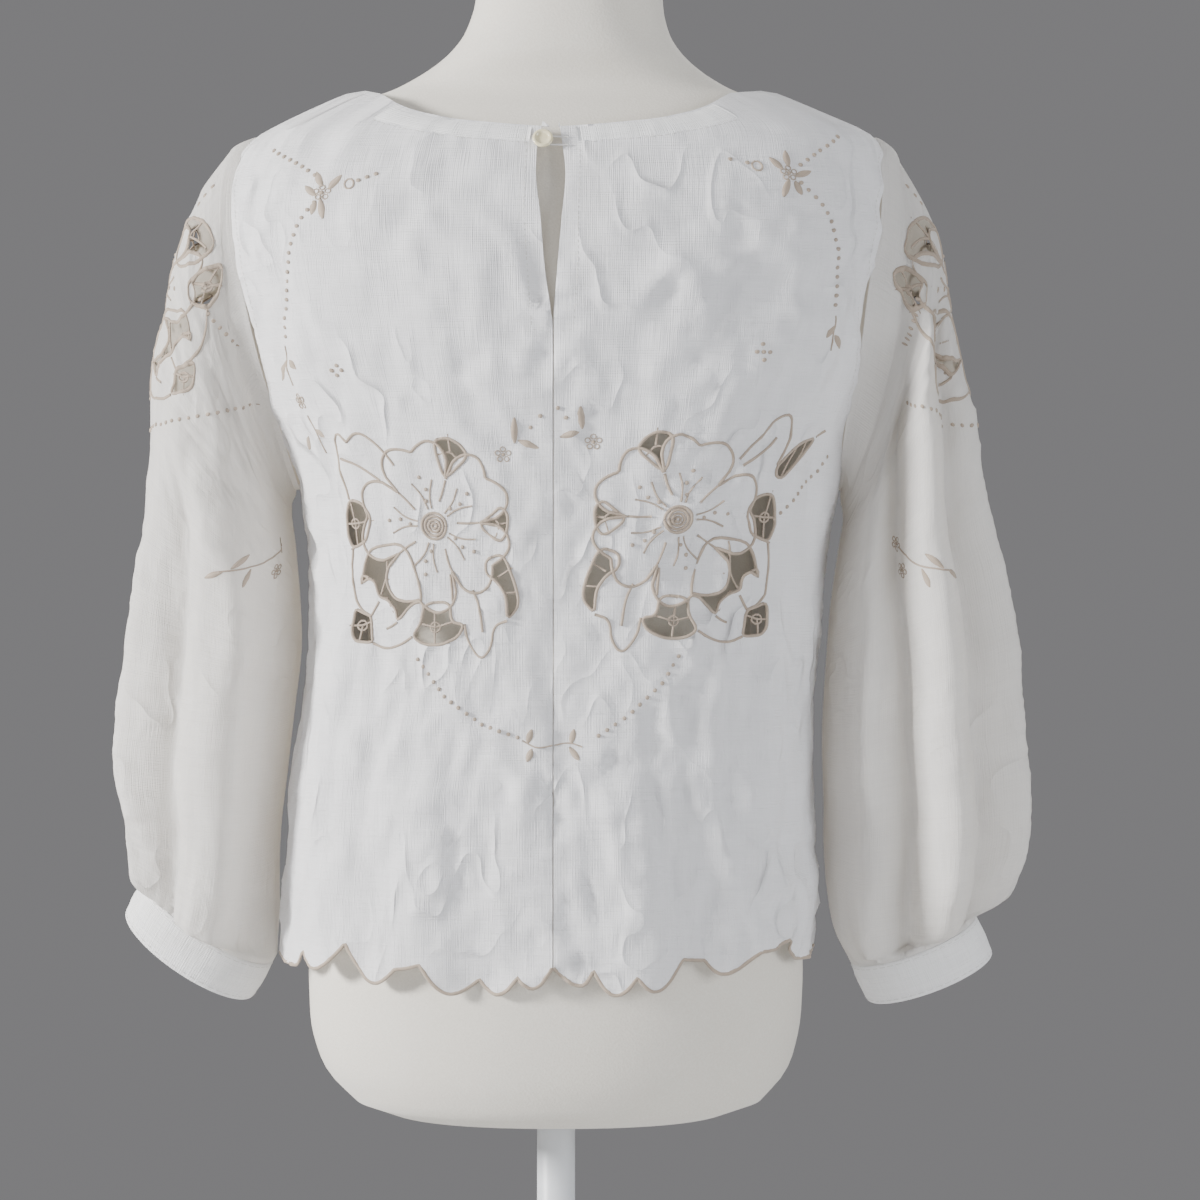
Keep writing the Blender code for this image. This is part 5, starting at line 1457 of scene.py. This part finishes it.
def sew_back(name, side, hem, cutwork):
    """All the raised threads on one half of the back."""
    sewing, bars = Sewing(BODY_SURFACE), Sewing(BODY_SURFACE)
    sew_motif(sewing, cutwork, bars)
    half = "left" if side > 0 else "right"
    for key, path in DOT_ROWS.items():
        if key.startswith(half):
            sewing.dots(back_flat(path), 6.2 * MM)
    if side > 0:
        middle = back_flat(DOT_ROWS["middle"])
        sewing.dots(middle[:2], 6.2 * MM)
    else:
        sewing.dots(back_flat(spots((-8, 113), (-3, 119))), 6.2 * MM)
    for path in LEAVES[name]:
        sewing.leaf(back_flat(path), 4.6 * MM)
    for path in STEMS[name]:
        sewing.line(curved(back_flat(path)), 1.1 * MM, 0.6 * MM)
    for spot in back_flat(BLOOMS[name]):
        sewing.bloom(spot, 3.4 * MM)
    for spot in back_flat(EYELETS[name]):
        ring = [(spot[0] + 2.6 * MM * math.cos(t), spot[1] + 3.4 * MM * math.sin(t))
                for t in np.linspace(0, 5.8, 12)]
        sewing.loop(ring, 1.3 * MM, 0.7 * MM)
    sewing.line(hem, 2.6 * MM, 0.75 * MM, whole=True, low=-0.35 * MM)
    pieces = [sewing.make(name + "_embroidery", "thread", BEIGE), bars.make(name + "_bars", "thread", BEIGE)]
    seams = Sewing(BODY_SURFACE)
    neck = mirrored(neck_edge(NECK_BACK, side), side)
    seams.dashes([(u, v - 12 * MM) for u, v in neck[4:-5]])
    edge = 17.5 if side > 0 else -16.5
    seams.dashes(back_flat(spots((edge, 284), (edge + 1, 240), (edge * 0.9, 200), (edge * 0.75, 168))))
    seams.dashes(back_flat(spots((edge * 0.75, 168), (1.2 * side, 166))))
    armhole_line = [(side * (u - 4 * MM), v) for u, v in side_edge(False)[58:131]]
    seams.dashes(armhole_line)
    pieces.append(seams.make(name + "_stitches", "thread", WHITE_THREAD))
    facing = Sewing(BODY_SURFACE)
    facing.line([(u, v - 6 * MM) for u, v in neck[4:-5]], 11 * MM, 0.7 * MM)
    pieces.append(facing.make(name + "_neck_band", "linen", CUFF_LINEN))
    return pieces


class LevelSurface:
    """A sleeve's surface, reached by level distances round the sleeve and depths below the chest."""

    def __init__(self, surface, sleeve):
        self.surface = surface
        self.sleeve = sleeve
        self.outward = surface.outward

    def place(self, flat):
        return self.surface.place(self.sleeve.flat([(distance, -down) for distance, down in flat]))


def sew_sleeve(name, surface, sleeve, cutwork):
    sewing, bars = Sewing(surface), Sewing(surface)
    sew_motif(sewing, cutwork, bars)
    spray = Sewing(LevelSurface(surface, sleeve))

    def level(pairs):
        return [(spot.across * MM, -spot.up * MM) for spot in pairs]
    for path in SLEEVE_DOTS:
        spray.dots(level(path), 6.4 * MM)
    for path in SLEEVE_STEMS:
        spray.line(curved(level(path)), 1.3 * MM, 0.7 * MM)
    for path in SLEEVE_LEAVES:
        spray.leaf(level(path), 4.6 * MM)
    for spot in level(SLEEVE_BLOOMS):
        spray.bloom(spot, 3.4 * MM)
    return [sewing.make(name + "_embroidery", "thread", BEIGE), bars.make(name + "_bars", "thread", BEIGE),
            spray.make(name + "_sprays", "thread", BEIGE)]


def cloth_area(piece):
    """Area of one side of the thin cloth."""
    return sum(face.area for face in piece.data.polygons) / 2


def declare(piece, width, length, others):
    area = min(cloth_area(piece), width * length)


def dress():
    for side, name, hem, motif in ((1, "back_left", HEM_LEFT, MOTIF_BACK_LEFT),
                                   (-1, "back_right", HEM_RIGHT, MOTIF_BACK_RIGHT)):
        piece, bottom, cutwork = back_piece(name, side, hem, motif)
        declare(piece, 0.28, 0.60, sew_back(name, side, bottom, cutwork))
    piece, bottom = front_piece()
    edging = Sewing(BODY_SURFACE)
    edging.line(bottom, 2.6 * MM, 0.75 * MM, whole=True, low=-0.35 * MM)
    neck = neck_edge(NECK_FRONT, 1)
    whole_neck = [(u, v) for u, v in neck[4:]] + [(-u, v) for u, v in reversed(neck[4:-1])]
    seams = Sewing(BODY_SURFACE)
    seams.dashes([(u + 2 * QUARTER, v - 12 * MM) for u, v in whole_neck])
    declare(piece, 0.56, 0.60, [edging.make("front_hem_edging", "thread", BEIGE),
                                              seams.make("front_stitches", "thread", WHITE_THREAD)])
    for side, name, rows, folds, lean, motif in (
            (1, "left", SLEEVE_LEFT, FOLDS_LEFT, CUFF_LEAN_LEFT, MOTIF_SLEEVE_LEFT),
            (-1, "right", SLEEVE_RIGHT, FOLDS_RIGHT, CUFF_LEAN_RIGHT, MOTIF_SLEEVE_RIGHT)):
        sleeve = Sleeve(side, rows, folds, lean, 11 if side > 0 else 24)
        piece, surface, cutwork = sleeve_piece("sleeve_" + name, sleeve, motif)
        others = sew_sleeve("sleeve_" + name, surface, sleeve, cutwork)
        band = cuff_piece("cuff_" + name, sleeve)
        others.append(cuff_stitches("cuff_" + name, sleeve))
        declare(piece, 0.46, 0.62, others)


FLOOR_HALF, FLOOR_DROP = 1.9, 0.5 * MM
BACKDROP = (0.205, 0.203, 0.209)


def studio():
    """Camera at the photograph's angle, pale floor, grey backdrop and soft light."""
    data = bpy.data.cameras.new("camera")
    camera = bpy.data.objects.new("camera", data)
    bpy.context.scene.collection.objects.link(camera)
    camera.location = (CAMERA_ASIDE, CAMERA_BACK, LEVEL)
    camera.rotation_euler = (math.radians(90), 0, math.radians(180))
    data.sensor_width = 36
    data.lens = 36 * CAMERA_BACK / VIEW_WIDTH
    bpy.context.scene.camera = camera
    mesh = bpy.data.meshes.new("floor")
    mesh.from_pydata([(-FLOOR_HALF, -FLOOR_HALF, -FLOOR_DROP), (FLOOR_HALF, -FLOOR_HALF, -FLOOR_DROP),
                      (FLOOR_HALF, FLOOR_HALF, -FLOOR_DROP), (-FLOOR_HALF, FLOOR_HALF, -FLOOR_DROP)],
                     [], [(0, 1, 2, 3)])
    mesh.materials.append(FLOOR)
    floor = bpy.data.objects.new("floor", mesh)
    bpy.context.scene.collection.objects.link(floor)
    for name, size, place, aim, power, colour in (
            ("key", 0.5, (2.5, 0.95, 1.5), (0, 0, 0.85), 172, (1.0, 0.985, 0.965)),
            ("fill", 1.4, (-2.2, 1.5, 1.2), (0, 0, 0.8), 44, (0.94, 0.965, 1.0)),
            ("front", 2.0, (0.5, 2.8, 0.3), (0, 0, 0.7), 26, (0.94, 0.96, 1.0)),
            ("top", 1.6, (0.2, 0.2, 2.9), (0, 0, 0.9), 11, (1.0, 1.0, 1.0)),
            ("far", 1.6, (-0.6, -2.4, 3.0), (0, 0, 0.8), 46, (1.0, 0.99, 0.97))):
        light = bpy.data.lights.new(name, "AREA")
        light.size = size
        light.energy = power
        light.color = colour
        item = bpy.data.objects.new(name, light)
        item.location = place
        item.rotation_euler = (Vector(aim) - Vector(place)).to_track_quat("-Z", "Y").to_euler()
        bpy.context.scene.collection.objects.link(item)
    world = bpy.data.worlds.new("studio")
    world.use_nodes = True
    world.node_tree.nodes["Background"].inputs["Color"].default_value = (*BACKDROP, 1)
    bpy.context.scene.world = world


form_pieces()
stand_pieces()
dress()
button_pieces()
studio()
